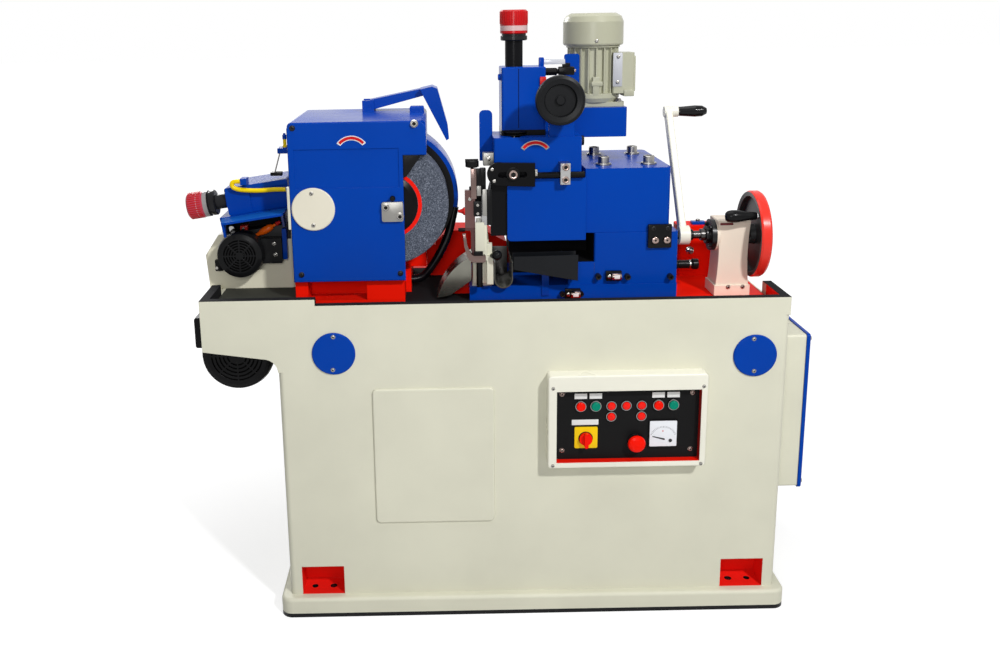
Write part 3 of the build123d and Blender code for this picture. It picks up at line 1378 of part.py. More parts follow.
def dresser_handwheel():
    y0 = HW_FRONT
    profile = [
        (0, y0 + 3),
        (9, y0 + 3),
        (12, y0 + 6),
        (12, y0 + 11),
        (0.61 * HW_R, y0 + 11),
        (0.66 * HW_R, y0 + 2),
        (HW_R - 8, y0),
        (HW_R - 2, y0 + 2),
        (HW_R, y0 + 7),
        (HW_R, y0 + 18),
        (HW_R - 4, y0 + 22),
        (HW_R - 12, y0 + 21),
        (20, y0 + 20),
        (18, HW_SLEEVE - SLIDE_FIT),
        (8, HW_SLEEVE - SLIDE_FIT),
        (8, RD_BACK + 30),
        (0, RD_BACK + 30),
    ]
    return turned_y(profile, HW_X, HW_Z)


def work_rest():
    x = BLADE_X
    outline = [
        (x - 28, LOWER_TOP),
        (x + 22, LOWER_TOP),
        (x + 16, LOWER_TOP + 90),
        (x + 11, REST_TOP),
        (x - 13, REST_TOP),
        (x - 20, LOWER_TOP + 90),
    ]
    body = prism_y(outline, REST_FRONT, REST_BACK)
    body -= block(
        x - BLADE_T / 2, x + BLADE_T / 2, REST_FRONT - 1, REST_BACK + 1, REST_TOP - 40, REST_TOP + 1
    )
    # Front bracket with its two upright bars
    y1 = REST_FRONT + 1
    body += block(x - 26, x + 22, REST_FRONT - 17, y1, LOWER_TOP + 10, REST_TOP - 45)
    body += block(x - 8, x + 9, REST_FRONT - 31, REST_FRONT - 16, LOWER_TOP + 73, REST_TOP + 6)
    body += block(x + 9 - 1, x + 24, REST_FRONT - 31, REST_FRONT - 16, LOWER_TOP + 11, LOWER_TOP + 84)
    return body


def work_blade():
    x0 = BLADE_X - BLADE_T / 2
    x1 = BLADE_X + BLADE_T / 2
    low = REST_TOP - 40
    profile = [(x0, low), (x1, low), (x1, REST_TOP + 40), (x0, REST_TOP + 46)]
    return prism_y(profile, REST_FRONT + 1, REST_BACK - 1)


def work_guides():
    x = BLADE_X
    y0 = REST_FRONT - 31
    y1 = REST_FRONT - 17
    left = block(x - 45, x - 20, y0, y1, REST_TOP - 7, REST_TOP + 94)
    left += block(x - 31, x - 20, y0, y1, REST_TOP - 75, REST_TOP - 6)
    left -= rod_z(4 + RUN_FIT, REST_TOP + 60, REST_TOP + 95, SCREW_X, (y0 + y1) / 2)
    right = block(x - 3, x + 9, y0, y1, REST_TOP + 6, REST_TOP + 84)
    return [left, right]


def rest_screw():
    y = REST_FRONT - 24
    top = REST_TOP + 166
    body = rod_z(4, REST_TOP + 64, top, SCREW_X, y)
    body += rod_z(8, REST_TOP + 94 + SLIDE_FIT, REST_TOP + 102, SCREW_X, y)
    return body + rod_x(4.5, SCREW_X - 17, SCREW_X + 15, y, top)


def discharge_chute():
    x0 = TROUGH_RIGHT + SLIDE_FIT
    x1 = UPPER_LEFT - 47
    y0 = SLIDE_FRONT - 47
    y1 = SLIDE_FRONT - 1
    t = 3
    high = LOWER_TOP + 54
    low = LOWER_TOP + 23
    side = [(x0, high), (x1, low), (x1, LOWER_TOP + 89), (x0, LOWER_TOP + 87)]
    body = prism_y([(x0, high), (x1, low), (x1, low + t), (x0, high + t)], y0, y1)
    body += prism_y(side, y0, y0 + t)
    body += prism_y(side, y1 - t, y1)
    # Tab that hangs the chute on the slide's front
    tab = x0 + 74
    body += block(tab, tab + 18, y1 - t, SLIDE_FRONT, LOWER_TOP - 26, LOWER_TOP - 4)
    return body + block(tab, tab + 18, y1 - t, y1, LOWER_TOP - 26, LOWER_TOP + 60)


def coolant_trough():
    x0 = BLADE_X + 26
    x1 = TROUGH_RIGHT
    t = 3
    r = (x1 - x0) / 2
    mid = (x0 + x1) / 2
    base = LOWER_TOP + r
    outer = flat([(x0, base), (x1, base), (x1, LOWER_TOP + 68), (x0, LOWER_TOP + 68)])
    outer += Pos(mid, base) * Circle(r)
    inner = flat([(x0 + t, base), (x1 - t, base), (x1 - t, LOWER_TOP + 69), (x0 + t, LOWER_TOP + 69)])
    inner += Pos(mid, base) * Circle(r - t)
    trough = spread_y(outer - inner, REST_FRONT - 30, REST_BACK - 10)
    # Curved apron on the wheel's side
    a = (BLADE_X - 117, BED_TOP + 6)
    b = (BLADE_X - 84, BED_TOP + 70)
    c = (BLADE_X - 24, BED_TOP + 116)
    d = (c[0], c[1] - 4)
    e = (b[0] + 2, b[1] - 3)
    f = (a[0] + 4, a[1])
    edge = [ThreePointArc(a, b, c), Line(c, d), ThreePointArc(d, e, f), Line(f, a)]
    front = REST_FRONT + 1
    apron = spread_y(make_face(edge), front, WHEEL_BACK - 17)
    # Front web below the apron's curve, up to the work rest
    rest = BLADE_X - 30
    web = make_face([ThreePointArc(a, b, c), Polyline(c, (c[0], b[1] - 15), (a[0] + 32, a[1] + 6), a)])
    web = spread_y(web, front, front + APRON_WEB) - block(rest, c[0] + 1, front - 1, 0, BED_TOP, c[1] + 1)
    return [trough, apron + web]


NODES = {
    "base_casting": base_casting,
    "inspection_discs": inspection_discs,
    "bed_casting": bed_casting,
    "electrical_cabinet": electrical_cabinet,
    "cabinet_cover": cabinet_cover,
    "control_box": control_box,
    "control_plate": control_plate,
    "wheelhead_casting": wheelhead_casting,
    "wheel_guard_body": wheel_guard_body,
    "wheel_guard_cover": wheel_guard_cover,
    "splash_flap": splash_flap,
    "spindle_bearings": spindle_bearings,
    "drive_belts": drive_belts,
    "belt_guard": belt_guard,
    "main_motor": main_motor,
    "motor_pulley": motor_pulley,
    "grinding_wheel": grinding_wheel,
    "wheel_flanges": wheel_flanges,
    "grinding_spindle": grinding_spindle,
    "coolant_hose": coolant_hose,
    "dresser_bracket": dresser_bracket,
    "dresser_saddle": dresser_saddle,
    "dresser_motor": dresser_motor,
    "dresser_carriage": dresser_carriage,
    "dresser_hose": dresser_hose,
    "dresser_quill": dresser_quill,
    "dresser_knob": dresser_knob,
    "lower_slide": lower_slide,
    "upper_slide": upper_slide,
    "work_rest": work_rest,
    "work_blade": work_blade,
    "work_guides": work_guides,
    "rest_screw": rest_screw,
    "discharge_chute": discharge_chute,
    "coolant_trough": coolant_trough,
    "regulating_housing": regulating_housing,
    "regulating_cover": regulating_cover,
    "regulating_wheel": regulating_wheel,
    "regulating_spindle": regulating_spindle,
    "worm_shaft": worm_shaft,
    "dresser_base": dresser_base,
    "drive_box": drive_box,
    "drive_motor": drive_motor,
    "reg_dresser_carriage": reg_dresser_carriage,
    "reg_dresser_quill": reg_dresser_quill,
    "reg_dresser_knob": reg_dresser_knob,
    "dresser_handwheel": dresser_handwheel,
    "adjusting_arm": adjusting_arm,
    "feed_pedestal": feed_pedestal,
    "feed_screw": feed_screw,
    "feed_handwheel": feed_handwheel,
    "handwheel_handle": handwheel_handle,
    "crank_lever": crank_lever,
    "crank_grip": crank_grip,
    "emergency_stop": emergency_stop,
    "switch_knob": switch_knob,
}
BUTTON_NODES = (
    "wheel_stop_button", "wheel_start_button", "regulating_stop_button", "regulating_start_button",
)

os.makedirs("parts", exist_ok=True)
for name, make in NODES.items():
    made = make()
    shape = Compound(children=made) if isinstance(made, list) else made
    export_step(shape, "parts/" + name + ".step")
for name, x in zip(BUTTON_NODES, BUTTON_XS):
    export_step(push_button(x), "parts/" + name + ".step")
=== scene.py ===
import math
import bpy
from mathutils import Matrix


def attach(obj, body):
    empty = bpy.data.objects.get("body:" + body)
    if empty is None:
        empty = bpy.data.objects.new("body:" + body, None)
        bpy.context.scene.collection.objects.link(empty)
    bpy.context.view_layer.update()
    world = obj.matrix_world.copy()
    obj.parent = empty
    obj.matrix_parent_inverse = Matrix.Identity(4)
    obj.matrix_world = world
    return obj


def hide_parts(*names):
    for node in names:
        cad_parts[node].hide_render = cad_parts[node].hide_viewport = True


bl_info = {
    "name": "Centreless grinder",
    "version": (2, 0, 0),
    "blender": (4, 5, 0),
    "location": "View3D > Sidebar > Grinder",
    "description": "Dresses the packed grinder in paint, steel and small fittings and sets the studio",
    "category": "Object",
}

import bmesh
import bpy
from mathutils import Matrix, Vector

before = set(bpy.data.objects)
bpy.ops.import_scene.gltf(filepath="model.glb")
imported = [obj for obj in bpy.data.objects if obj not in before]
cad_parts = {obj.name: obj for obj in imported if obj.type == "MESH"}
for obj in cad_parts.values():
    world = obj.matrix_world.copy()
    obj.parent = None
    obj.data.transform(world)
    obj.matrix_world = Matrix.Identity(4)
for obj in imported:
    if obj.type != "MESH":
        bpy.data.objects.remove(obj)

MM = 0.001
FRONT, BACK = (0, -1, 0), (0, 1, 0)
LEFT, RIGHT = (-1, 0, 0), (1, 0, 0)
UP = (0, 0, 1)
SHARP_ANGLE = math.radians(35)
BUMP_DEPTH = 0.001

# Camera and studio: places in metres, turns in degrees, the sensor in millimetres
CAMERA_PLACE = (-0.22523, -2.58133, 1.5018)
CAMERA_PITCH = 12.7
CAMERA_ROLL = 1.09
CAMERA_SHIFT = (0.061, -0.0965)
SENSOR_WIDTH = 36.0
FLOOR_REACH = 40.0
FLOOR_FADE = 0.11
FLOOR_FADE_START = 0.1
LIGHT_AIM = (-0.1, -0.1, 0.9)
LIGHTS = (
    ("key", (1.65, -3.2, 3.4), 0.25),
    ("fill", (-0.4, -3.2, 1.75), 0.9),
    ("over", (-0.1, -0.1, 3.6), 2.2),
    ("rear", (-1.8, 2.9, 2.6), 1.2),
)

# Places and profiles in millimetres that several steps share
COVER_Y = -235.0
PLATE_Y = -338.0
FRAME_Y = -360.0
BASE_Y = -320.0
WHEEL_AXIS = (-352.0, 1056.0)
MOTOR_AXIS = (-742.0, 683.0)
KNOB_LEAN = math.radians(8.0)
LEFT_KNOB = (-800.9, -95.0, 1051.4)
LEFT_KNOB_OUT = (-math.cos(KNOB_LEAN), 0.0, -math.sin(KNOB_LEAN))
TOP_KNOB = (-31.0, -135.0, 1450.0)
KNOB_R = 34.0
BADGE_HALF = math.radians(54)
FEED_AXIS = (-170.0, 957.0)
UPPER_SLIDE_Y = -212.0
LOWER_SLIDE_Y = -214.0
ARM_Y = -243.0
HEX_BOLT = ((0, 0), (9, 0), (9, 2), (7.5, 2.2, "hex"), (7.5, 7, "hex"), (6, 8), (0, 8))
PANEL_BUTTONS = ((116.5, 567.0), (153.5, 567.0), (308.0, 567.0), (345.0, 567.0))
PANEL_LAMPS = ((192.0, 567.0), (229.0, 567.0), (266.5, 567.0), (192.0, 539.0), (266.5, 539.0))

# Node trees and finishes by name, and the kinds of their sockets
GROUPS = {}
FINISHES = {}
SHADER_TREE, SHAPE_TREE = "ShaderNodeTree", "GeometryNodeTree"
FLOAT, VECTOR = "NodeSocketFloat", "NodeSocketVector"
SHAPE, OBJECT, MATERIAL = "NodeSocketGeometry", "NodeSocketObject", "NodeSocketMaterial"

# What many finishes share, and the finishes that many fittings share
# Near black: the paint of the black trim, and painted shade in hollows, under parts and behind them
BLACK_TRIM_AND_SHADE = (0.006, 0.006, 0.007)
BRUSHED = {"ripple": (420.0, 0.05), "stretch": (1, 0.08, 1), "tint": 0.2}
MOULDED = {"ripple": (900.0, 0.05), "tint": 0.15, "edge": 0.0008}
SMALL = {"ripple": (900.0, 0.04), "tint": 0.15}
MOULDING, BRIGHT, WARM, BLUE = "small moulding", "bright screw", "warm steel", "blue fitting"

# What the settings of one kind share
COLOUR = {"subtype": "COLOR", "size": 3, "min": 0.0, "max": 1.0}
POWER = {"unit": "POWER", "min": 0.0, "max": 2000.0}


class GrinderPaint(bpy.types.PropertyGroup):
    """Paints of the castings and how they lie"""

    cream: bpy.props.FloatVectorProperty(
        name="Cream", description="Paint of the base and the small castings",
        default=(0.70, 0.69, 0.56), **COLOUR,
    )
    blue: bpy.props.FloatVectorProperty(
        name="Blue", description="Paint of the guard, slides and heads",
        default=(0.0008, 0.048, 0.365), **COLOUR,
    )
    red: bpy.props.FloatVectorProperty(
        name="Red", description="Paint of the bed and the wheel head",
        default=(0.90, 0.010, 0.002), **COLOUR,
    )
    black: bpy.props.FloatVectorProperty(
        name="Black", description="Paint of the arm, the flanges and the trim",
        default=(0.0035, 0.0035, 0.004), **COLOUR,
    )
    motor: bpy.props.FloatVectorProperty(
        name="Motor grey", description="Paint of the regulating wheel's motor",
        default=(0.44, 0.44, 0.325), **COLOUR,
    )
    peel: bpy.props.FloatProperty(
        name="Orange peel", description="Strength of the ripple in the enamel",
        min=0.0, max=1.0, default=0.05,
    )
    edge: bpy.props.FloatProperty(
        name="Paint edge", description="Radius of the paint over a casting's edges", unit="LENGTH",
        min=0.0, max=0.01, default=0.002,
    )

    def enamel(self):
        """What every enamel shares."""
        return {"ripple": (90.0, self.peel), "edge": self.edge}

    def glossy(self):
        """What every glossy enamel shares."""
        return {"gloss": 0.05, "rough": 0.2, **self.enamel()}


class GrinderDetail(bpy.types.PropertyGroup):
    """Counts and rounding of the small fittings"""

    knob_ribs: bpy.props.IntProperty(
        name="Knob ribs", description="Ribs round each graduated feed knob", min=8, max=120, default=36,
    )
    meter_ticks: bpy.props.IntProperty(
        name="Meter ticks", description="Graduations on the panel meter", min=3, max=61, default=21,
    )
    flange_screws: bpy.props.IntProperty(
        name="Flange screws", description="Screws round the feed bearing's flange", min=3, max=12, default=4,
    )
    rounding: bpy.props.FloatProperty(
        name="Edge rounding", description="Rounding of the small fittings' edges", unit="LENGTH",
        min=0.0002, max=0.005, default=0.0009,
    )
    sides: bpy.props.IntProperty(
        name="Sides", description="Sides round a turned fitting", min=12, max=96, default=36,
    )


class GrinderStage(bpy.types.PropertyGroup):
    """Lights, floor and lens of the studio"""

    key: bpy.props.FloatProperty(
        name="Key light", description="Power of the light on the right over the camera",
        default=122.0, **POWER,
    )
    fill: bpy.props.FloatProperty(
        name="Fill light", description="Power of the light by the camera", default=28.0, **POWER,
    )
    over: bpy.props.FloatProperty(
        name="Top light", description="Power of the broad light overhead", default=42.0, **POWER,
    )
    rear: bpy.props.FloatProperty(
        name="Rear light", description="Power of the soft light behind on the left", default=55.0, **POWER,
    )
    sky: bpy.props.FloatProperty(
        name="Sky", description="Strength of the white surround on the object", min=0.0, max=4.0, default=0.1,
    )
    floor_white: bpy.props.FloatProperty(
        name="Floor white", description="Whiteness that the camera sees on the floor besides its light",
        min=0.0, max=1.0, default=0.62,
    )
    lens: bpy.props.FloatProperty(
        name="Lens", description="Focal length of the camera", unit="CAMERA",
        min=10.0, max=200.0, default=34.92,
    )


# Node tools


def new_tree(kind, name, inputs, outputs):
    """A node tree with those inputs and outputs, kept under its name."""
    tree = bpy.data.node_groups.new(name, kind)
    for label, socket_kind, default in inputs:
        socket = tree.interface.new_socket(name=label, in_out="INPUT", socket_type=socket_kind)
        if default is not None:
            socket.default_value = default
    for label, socket_kind in outputs:
        tree.interface.new_socket(name=label, in_out="OUTPUT", socket_type=socket_kind)
    GROUPS[name] = tree
    return tree, tree.nodes.new("NodeGroupInput").outputs, tree.nodes.new("NodeGroupOutput").inputs


def plug(tree, socket, value):
    """Sets a socket to a value, or links it where the value is another socket."""
    if isinstance(value, bpy.types.NodeSocket):
        tree.links.new(value, socket)
    elif value is not None:
        socket.default_value = value


def wired(tree, kind, **inputs):
    """A node with the named inputs set or linked."""
    node = tree.nodes.new(kind)
    for key, value in inputs.items():
        plug(tree, node.inputs[key], value)
    return node


def math_node(tree, operation, a, b=None, kind="ShaderNodeMath"):
    """Result of a sum on sockets or values."""
    node = tree.nodes.new(kind)
    node.operation = operation
    plug(tree, node.inputs[0], a)
    plug(tree, node.inputs[1], b)
    return next(socket for socket in node.outputs if socket.enabled)


def vector_node(tree, operation, a, b=None):
    return math_node(tree, operation, a, b, "ShaderNodeVectorMath")


def between(tree, value, low, high):
    """1 where a value lies between two bounds."""
    above = math_node(tree, "GREATER_THAN", value, low)
    below = math_node(tree, "LESS_THAN", value, high)
    return math_node(tree, "MULTIPLY", above, below)


def here(tree):
    """Place on the piece, in object coordinates."""
    return tree.nodes.new("ShaderNodeTexCoord").outputs["Object"]


# Shader groups: masks, ripple and grain


def box_mask_group():
    """1 inside a box given by its low and high corner in object coordinates."""
    tree, start, end = new_tree(
        SHADER_TREE, "Box mask", (("Low", VECTOR, (0, 0, 0)), ("High", VECTOR, (1, 1, 1))), (("Mask", FLOAT),)
    )
    sources = (here(tree), start["Low"], start["High"])
    mask = 1.0
    for place, low, high in zip(*(wired(tree, "ShaderNodeSeparateXYZ", Vector=s).outputs for s in sources)):
        mask = math_node(tree, "MULTIPLY", mask, between(tree, place, low, high))
    tree.links.new(mask, end["Mask"])


def ring_mask_group():
    """1 between two distances from an axis through a point in object coordinates."""
    tree, start, end = new_tree(
        SHADER_TREE, "Ring mask",
        (
            ("Centre", VECTOR, (0, 0, 0)), ("Flatten", VECTOR, (1, 0, 1)),
            ("Inner", FLOAT, 0.0), ("Outer", FLOAT, 1.0),
        ),
        (("Mask", FLOAT),),
    )
    offset = vector_node(tree, "SUBTRACT", here(tree), start["Centre"])
    away = vector_node(tree, "LENGTH", vector_node(tree, "MULTIPLY", offset, start["Flatten"]))
    tree.links.new(between(tree, away, start["Inner"], start["Outer"]), end["Mask"])


def band_mask_group():
    """1 between two distances along an axis from a point in object coordinates."""
    tree, start, end = new_tree(
        SHADER_TREE, "Band mask",
        (
            ("Centre", VECTOR, (0, 0, 0)), ("Along", VECTOR, (0, 0, 1)),
            ("Low", FLOAT, 0.0), ("High", FLOAT, 1.0),
        ),
        (("Mask", FLOAT),),
    )
    offset = vector_node(tree, "SUBTRACT", here(tree), start["Centre"])
    along = vector_node(tree, "DOT_PRODUCT", offset, start["Along"])
    tree.links.new(between(tree, along, start["Low"], start["High"]), end["Mask"])


def ripple_group():
    """Fine ripple of a sprayed, brushed or moulded surface, and a broad cloud for its tint and gloss."""
    tree, start, end = new_tree(
        SHADER_TREE, "Surface ripple",
        (
            ("Scale", FLOAT, 90.0), ("Stretch", VECTOR, (1, 1, 1)),
            ("Strength", FLOAT, 0.05), ("Under", VECTOR, (0, 0, 1)),
        ),
        (("Normal", VECTOR), ("Cloud", FLOAT)),
    )
    place = here(tree)
    stretched = vector_node(tree, "MULTIPLY", place, start["Stretch"])
    fine = wired(tree, "ShaderNodeTexNoise", Vector=stretched, Scale=start["Scale"], Detail=3.0)
    bump = wired(
        tree, "ShaderNodeBump", Height=fine.outputs["Fac"], Distance=BUMP_DEPTH,
        Strength=start["Strength"], Normal=start["Under"],
    )
    cloud = wired(tree, "ShaderNodeTexNoise", Vector=place, Scale=5.0, Detail=4.0)
    tree.links.new(bump.outputs["Normal"], end["Normal"])
    tree.links.new(cloud.outputs["Fac"], end["Cloud"])


def grain_group():
    """Grain of a bonded wheel: a colour factor and a normal."""
    tree, start, end = new_tree(
        SHADER_TREE, "Wheel grain",
        (("Scale", FLOAT, 420.0), ("Strength", FLOAT, 0.5)), (("Fac", FLOAT), ("Normal", VECTOR)),
    )
    place = here(tree)
    cells = wired(tree, "ShaderNodeTexVoronoi", Vector=place, Scale=start["Scale"])
    split = wired(tree, "ShaderNodeSeparateColor", Color=cells.outputs["Color"]).outputs
    broad = wired(tree, "ShaderNodeTexNoise", Vector=place, Scale=30.0, Detail=3.0)
    grain = math_node(tree, "MULTIPLY", split[0], split[1])
    clouded = math_node(tree, "MULTIPLY", grain, math_node(tree, "ADD", broad.outputs["Fac"], 0.5))
    bump = wired(tree, "ShaderNodeBump", Height=split[0], Distance=BUMP_DEPTH, Strength=start["Strength"])
    tree.links.new(clouded, end["Fac"])
    tree.links.new(bump.outputs["Normal"], end["Normal"])


def use_group(tree, name, **values):
    """A shader group in a material, with its inputs set or linked."""
    node = tree.nodes.new("ShaderNodeGroup")
    node.node_tree = GROUPS[name]
    for key, value in values.items():
        plug(tree, node.inputs[key], value)
    return node


def mixed(tree, kind, factor, a, b, blend="MIX"):
    """a where the factor is 0 and b where it is 1, as colours or as values."""
    node = tree.nodes.new("ShaderNodeMix")
    node.data_type = kind
    node.blend_type = blend
    sockets = [socket for socket in node.inputs if socket.enabled]
    for socket, value in zip(sockets, (factor, a, b)):
        plug(tree, socket, value)
    return next(socket for socket in node.outputs if socket.enabled)


def spread(tree, value, low, high):
    """Spreads the middle of a noise over a range."""
    reach = {"From Min": 0.3, "From Max": 0.7, "To Min": low, "To Max": high}
    return wired(tree, "ShaderNodeMapRange", Value=value, **reach).outputs["Result"]


def patch(mask, colour, metal=0.0, rough=None, **settings):
    """A part of a node that has another finish: the mask group, its settings and the finish."""
    return mask, settings, colour, metal, rough


def box(low, high, colour, **look):
    """A patch inside a box, in millimetres."""
    return patch("Box mask", colour, Low=Vector(low) * MM, High=Vector(high) * MM, **look)


def band(centre, along, low, high, colour, **look):
    """A patch between two distances along an axis, in millimetres."""
    reach = {"Low": low * MM, "High": high * MM}
    return patch("Band mask", colour, Centre=Vector(centre) * MM, Along=along, **reach, **look)


def ring(centre, flatten, inner, outer, colour, **look):
    """A patch between two distances from an axis, in millimetres."""
    reach = {"Inner": inner * MM, "Outer": outer * MM}
    return patch("Ring mask", colour, Centre=Vector(centre) * MM, Flatten=flatten, **reach, **look)


def new_material(name):
    """A material kept under its name, with its tree and its shader's inputs."""
    mat = bpy.data.materials.new(name)
    mat.use_nodes = True
    FINISHES[name] = mat
    return mat, mat.node_tree, mat.node_tree.nodes["Principled BSDF"].inputs


def finish(
    name, colour, rough=0.4, metal=0.0, gloss=0.3, coat=0.0, patches=(), ripple=(90.0, 0.05),
    stretch=(1, 1, 1), edge=0.0, tint=0.06,
):
    """A material: a colour with its patches, tinted by a broad cloud, over a fine ripple."""
    mat, tree, shader = new_material(name)
    for key, value in (("Specular IOR Level", gloss), ("Coat Weight", coat), ("Coat Roughness", 0.08)):
        shader[key].default_value = value
    if edge:
        under = wired(tree, "ShaderNodeBevel", Radius=edge)
        under.samples = 4
    else:
        under = tree.nodes.new("ShaderNodeNewGeometry")
    scale, strength = ripple
    surface = use_group(
        tree, "Surface ripple", Scale=scale, Strength=strength, Stretch=stretch, Under=under.outputs["Normal"]
    )
    cloud = surface.outputs["Cloud"]
    paint = (*colour, 1.0)
    shine = spread(tree, cloud, max(rough - 0.05, 0.02), rough + 0.06)
    bare = metal
    for mask, settings, patch_colour, patch_metal, patch_rough in patches:
        mask_out = use_group(tree, mask, **settings).outputs["Mask"]
        paint = mixed(tree, "RGBA", mask_out, paint, (*patch_colour, 1.0))
        if patch_metal != metal:
            bare = mixed(tree, "FLOAT", mask_out, bare, patch_metal)
        if patch_rough is not None:
            shine = mixed(tree, "FLOAT", mask_out, shine, patch_rough)
    shade = spread(tree, cloud, 1.0 - tint, 1.0 + tint / 3)
    plug(tree, shader["Base Color"], mixed(tree, "RGBA", 1.0, paint, shade, "MULTIPLY"))
    plug(tree, shader["Roughness"], shine)
    plug(tree, shader["Metallic"], bare)
    plug(tree, shader["Normal"], surface.outputs["Normal"])
    return mat


def grain_finish(name, dark, light, scale, rough, patches=()):
    """A bonded wheel's material: two tones by its grain, under its patches."""
    mat, tree, shader = new_material(name)
    node = use_group(tree, "Wheel grain", Scale=scale)
    colour = mixed(tree, "RGBA", node.outputs["Fac"], (*dark, 1.0), (*light, 1.0))
    for mask, settings, patch_colour, _, _ in patches:
        mask_out = use_group(tree, mask, **settings).outputs["Mask"]
        colour = mixed(tree, "RGBA", mask_out, colour, (*patch_colour, 1.0))
    plug(tree, shader["Base Color"], colour)
    plug(tree, shader["Normal"], node.outputs["Normal"])
    shader["Roughness"].default_value = rough
    shader["Specular IOR Level"].default_value = 0.2
    return mat


def wear(material, *nodes):
    """Puts a material on CAD nodes, leaving their meshes as they are."""
    for node in nodes:
        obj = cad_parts[node]
        if not obj.material_slots:
            obj.data.materials.append(material)
        for slot in obj.material_slots:
            slot.material = material


# Mesh tools


def side_turn(facing):
    """Turns Z into the way a fitting faces; a fitting on the front keeps X along X."""
    facing = Vector(facing).normalized()
    if facing.z > 0.9999:
        return Matrix.Identity(4)
    return Vector((0, 0, 1)).rotation_difference(facing).to_matrix().to_4x4()


def revolved(profile, sides, turn=None):
    """Vertices and faces turned about Z from rows of (radius, height), in millimetres.

    A row that ends in 'hex' or 'socket' is six-sided. Faces that start at a socket row are marked as hollow.
    """
    turn = turn or Matrix.Identity(4)
    verts, rings, faces, hollow = [], [], [], []
    for row in profile:
        radius, height = row[0], row[1]
        if radius == 0:
            rings.append([len(verts)])
            verts.append(turn @ Vector((0, 0, height)))
            continue
        first = len(verts)
        for i in range(sides):
            angle = 2 * math.pi * i / sides
            r = radius
            if len(row) > 2:
                r = radius / math.cos((angle + math.pi / 6) % (math.pi / 3) - math.pi / 6)
            verts.append(turn @ Vector((r * math.cos(angle), r * math.sin(angle), height)))
        rings.append(list(range(first, first + sides)))
    if profile[0][0] and profile[-1][0]:
        rings.append(rings[0])
    for row, low, high in zip(profile, rings, rings[1:]):
        hollow += [row[2:] == ("socket",)] * sides
        for i in range(sides):
            j = (i + 1) % sides
            if len(low) == 1:
                faces.append((low[0], high[j], high[i]))
            elif len(high) == 1:
                faces.append((low[i], low[j], high[0]))
            else:
                faces.append((low[i], low[j], high[j], high[i]))
    return verts, faces, hollow


class Fitting:
    """Gathers the shapes of one piece, given in millimetres, and makes the piece of them."""

    def __init__(self, context):
        detail = context.scene.grinder_detail
        self.context = context
        self.edge = detail.rounding / MM
        self.sides = detail.sides
        self.mesh = bmesh.new()
        self.looks = []

    def add(self, shape, look, hollow=()):
        """Takes over a closed shape, in millimetres, with its faces turned outwards."""
        bmesh.ops.recalc_face_normals(shape, faces=shape.faces)
        marks = [self.mark(look)] * len(shape.faces)
        if any(hollow):
            dark = self.mark("socket shade")
            marks = [dark if shaded else mark for mark, shaded in zip(marks, hollow)]
        twins = {}
        for vert in shape.verts:
            twins[vert] = self.mesh.verts.new(vert.co * MM)
        for face, mark in zip(shape.faces, marks):
            made = self.mesh.faces.new([twins[v] for v in face.verts])
            made.material_index = mark
            made.smooth = True
        shape.free()

    def mark(self, look):
        """Place of a finish in the piece's own list."""
        if look not in self.looks:
            self.looks.append(look)
        return self.looks.index(look)

    def block(self, low, high, look, edge=None, turn=None):
        """A box with rounded edges."""
        shape = bmesh.new()
        bmesh.ops.create_cube(shape, size=1.0)
        low, high = Vector(low), Vector(high)
        span = high - low
        for vert in shape.verts:
            vert.co = Vector((low[i] + (vert.co[i] + 0.5) * span[i] for i in range(3)))
        self.soften(shape, list(shape.edges), min(edge or self.edge, 0.4 * min(span)))
        if turn is not None:
            shape.transform(turn)
        self.add(shape, look)

    def soften(self, shape, edges, edge):
        """Rounds edges of a shape."""
        bmesh.ops.bevel(
            shape, geom=edges, offset=edge, offset_type="OFFSET", segments=2, profile=0.6,
            affect="EDGES", clamp_overlap=True,
        )

    def turned(self, profile, foot, facing, look, sides=None):
        """A shape turned about an axis that leaves foot in the way it faces."""
        turn = Matrix.Translation(foot) @ side_turn(facing)
        verts, faces, hollow = revolved(profile, sides or self.sides, turn)
        shape = bmesh.new()
        made = [shape.verts.new(v) for v in verts]
        for face in faces:
            shape.faces.new([made[i] for i in face])
        self.add(shape, look, hollow)

    def slab(self, outline, foot, facing, thick, look, edge=None, turn=None):
        """A plate of that outline, in the plane that faces that way, raised from foot."""
        turn = (turn or Matrix.Identity(4)) @ Matrix.Translation(foot) @ side_turn(facing)
        shape = bmesh.new()
        low = [shape.verts.new(turn @ Vector((x, y, 0))) for x, y in outline]
        high = [shape.verts.new(turn @ Vector((x, y, thick))) for x, y in outline]
        shape.faces.new(low[::-1])
        top = shape.faces.new(high)
        for i in range(len(outline)):
            j = (i + 1) % len(outline)
            shape.faces.new((low[i], low[j], high[j], high[i]))
        if edge:
            self.soften(shape, list(top.edges), edge)
        self.add(shape, look)

    def rod(self, start, end, radius, look, sides=16):
        """A straight rod with rounded ends."""
        way = Vector(end) - Vector(start)
        long = way.length
        tip = min(0.3 * radius, 0.2 * long)
        ends = radius - tip
        profile = [(0, 0), (ends, 0), (radius, tip), (radius, long - tip), (ends, long), (0, long)]
        self.turned(profile, start, way, look, sides)

    def make(self, name, body, slot):
        """Makes the piece of what was gathered and settles it on its body."""
        mesh = bpy.data.meshes.new(name)
        self.mesh.to_mesh(mesh)
        self.mesh.free()
        for look in self.looks:
            mesh.materials.append(FINISHES[look])
        mesh.set_sharp_from_angle(angle=SHARP_ANGLE)
        return settle(self.context, bpy.data.objects.new(name, mesh), body)


def settle(context, obj, body):
    """Links a piece and gives it its body."""
    context.collection.objects.link(obj)
    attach(obj, body)
    return obj


# Geometry node trees for what repeats


def aligned(tree, facing):
    """Rotation that turns Z to the facing."""
    node = wired(tree, "FunctionNodeAlignRotationToVector", Vector=facing)
    node.axis = "Z"
    return node.outputs["Rotation"]


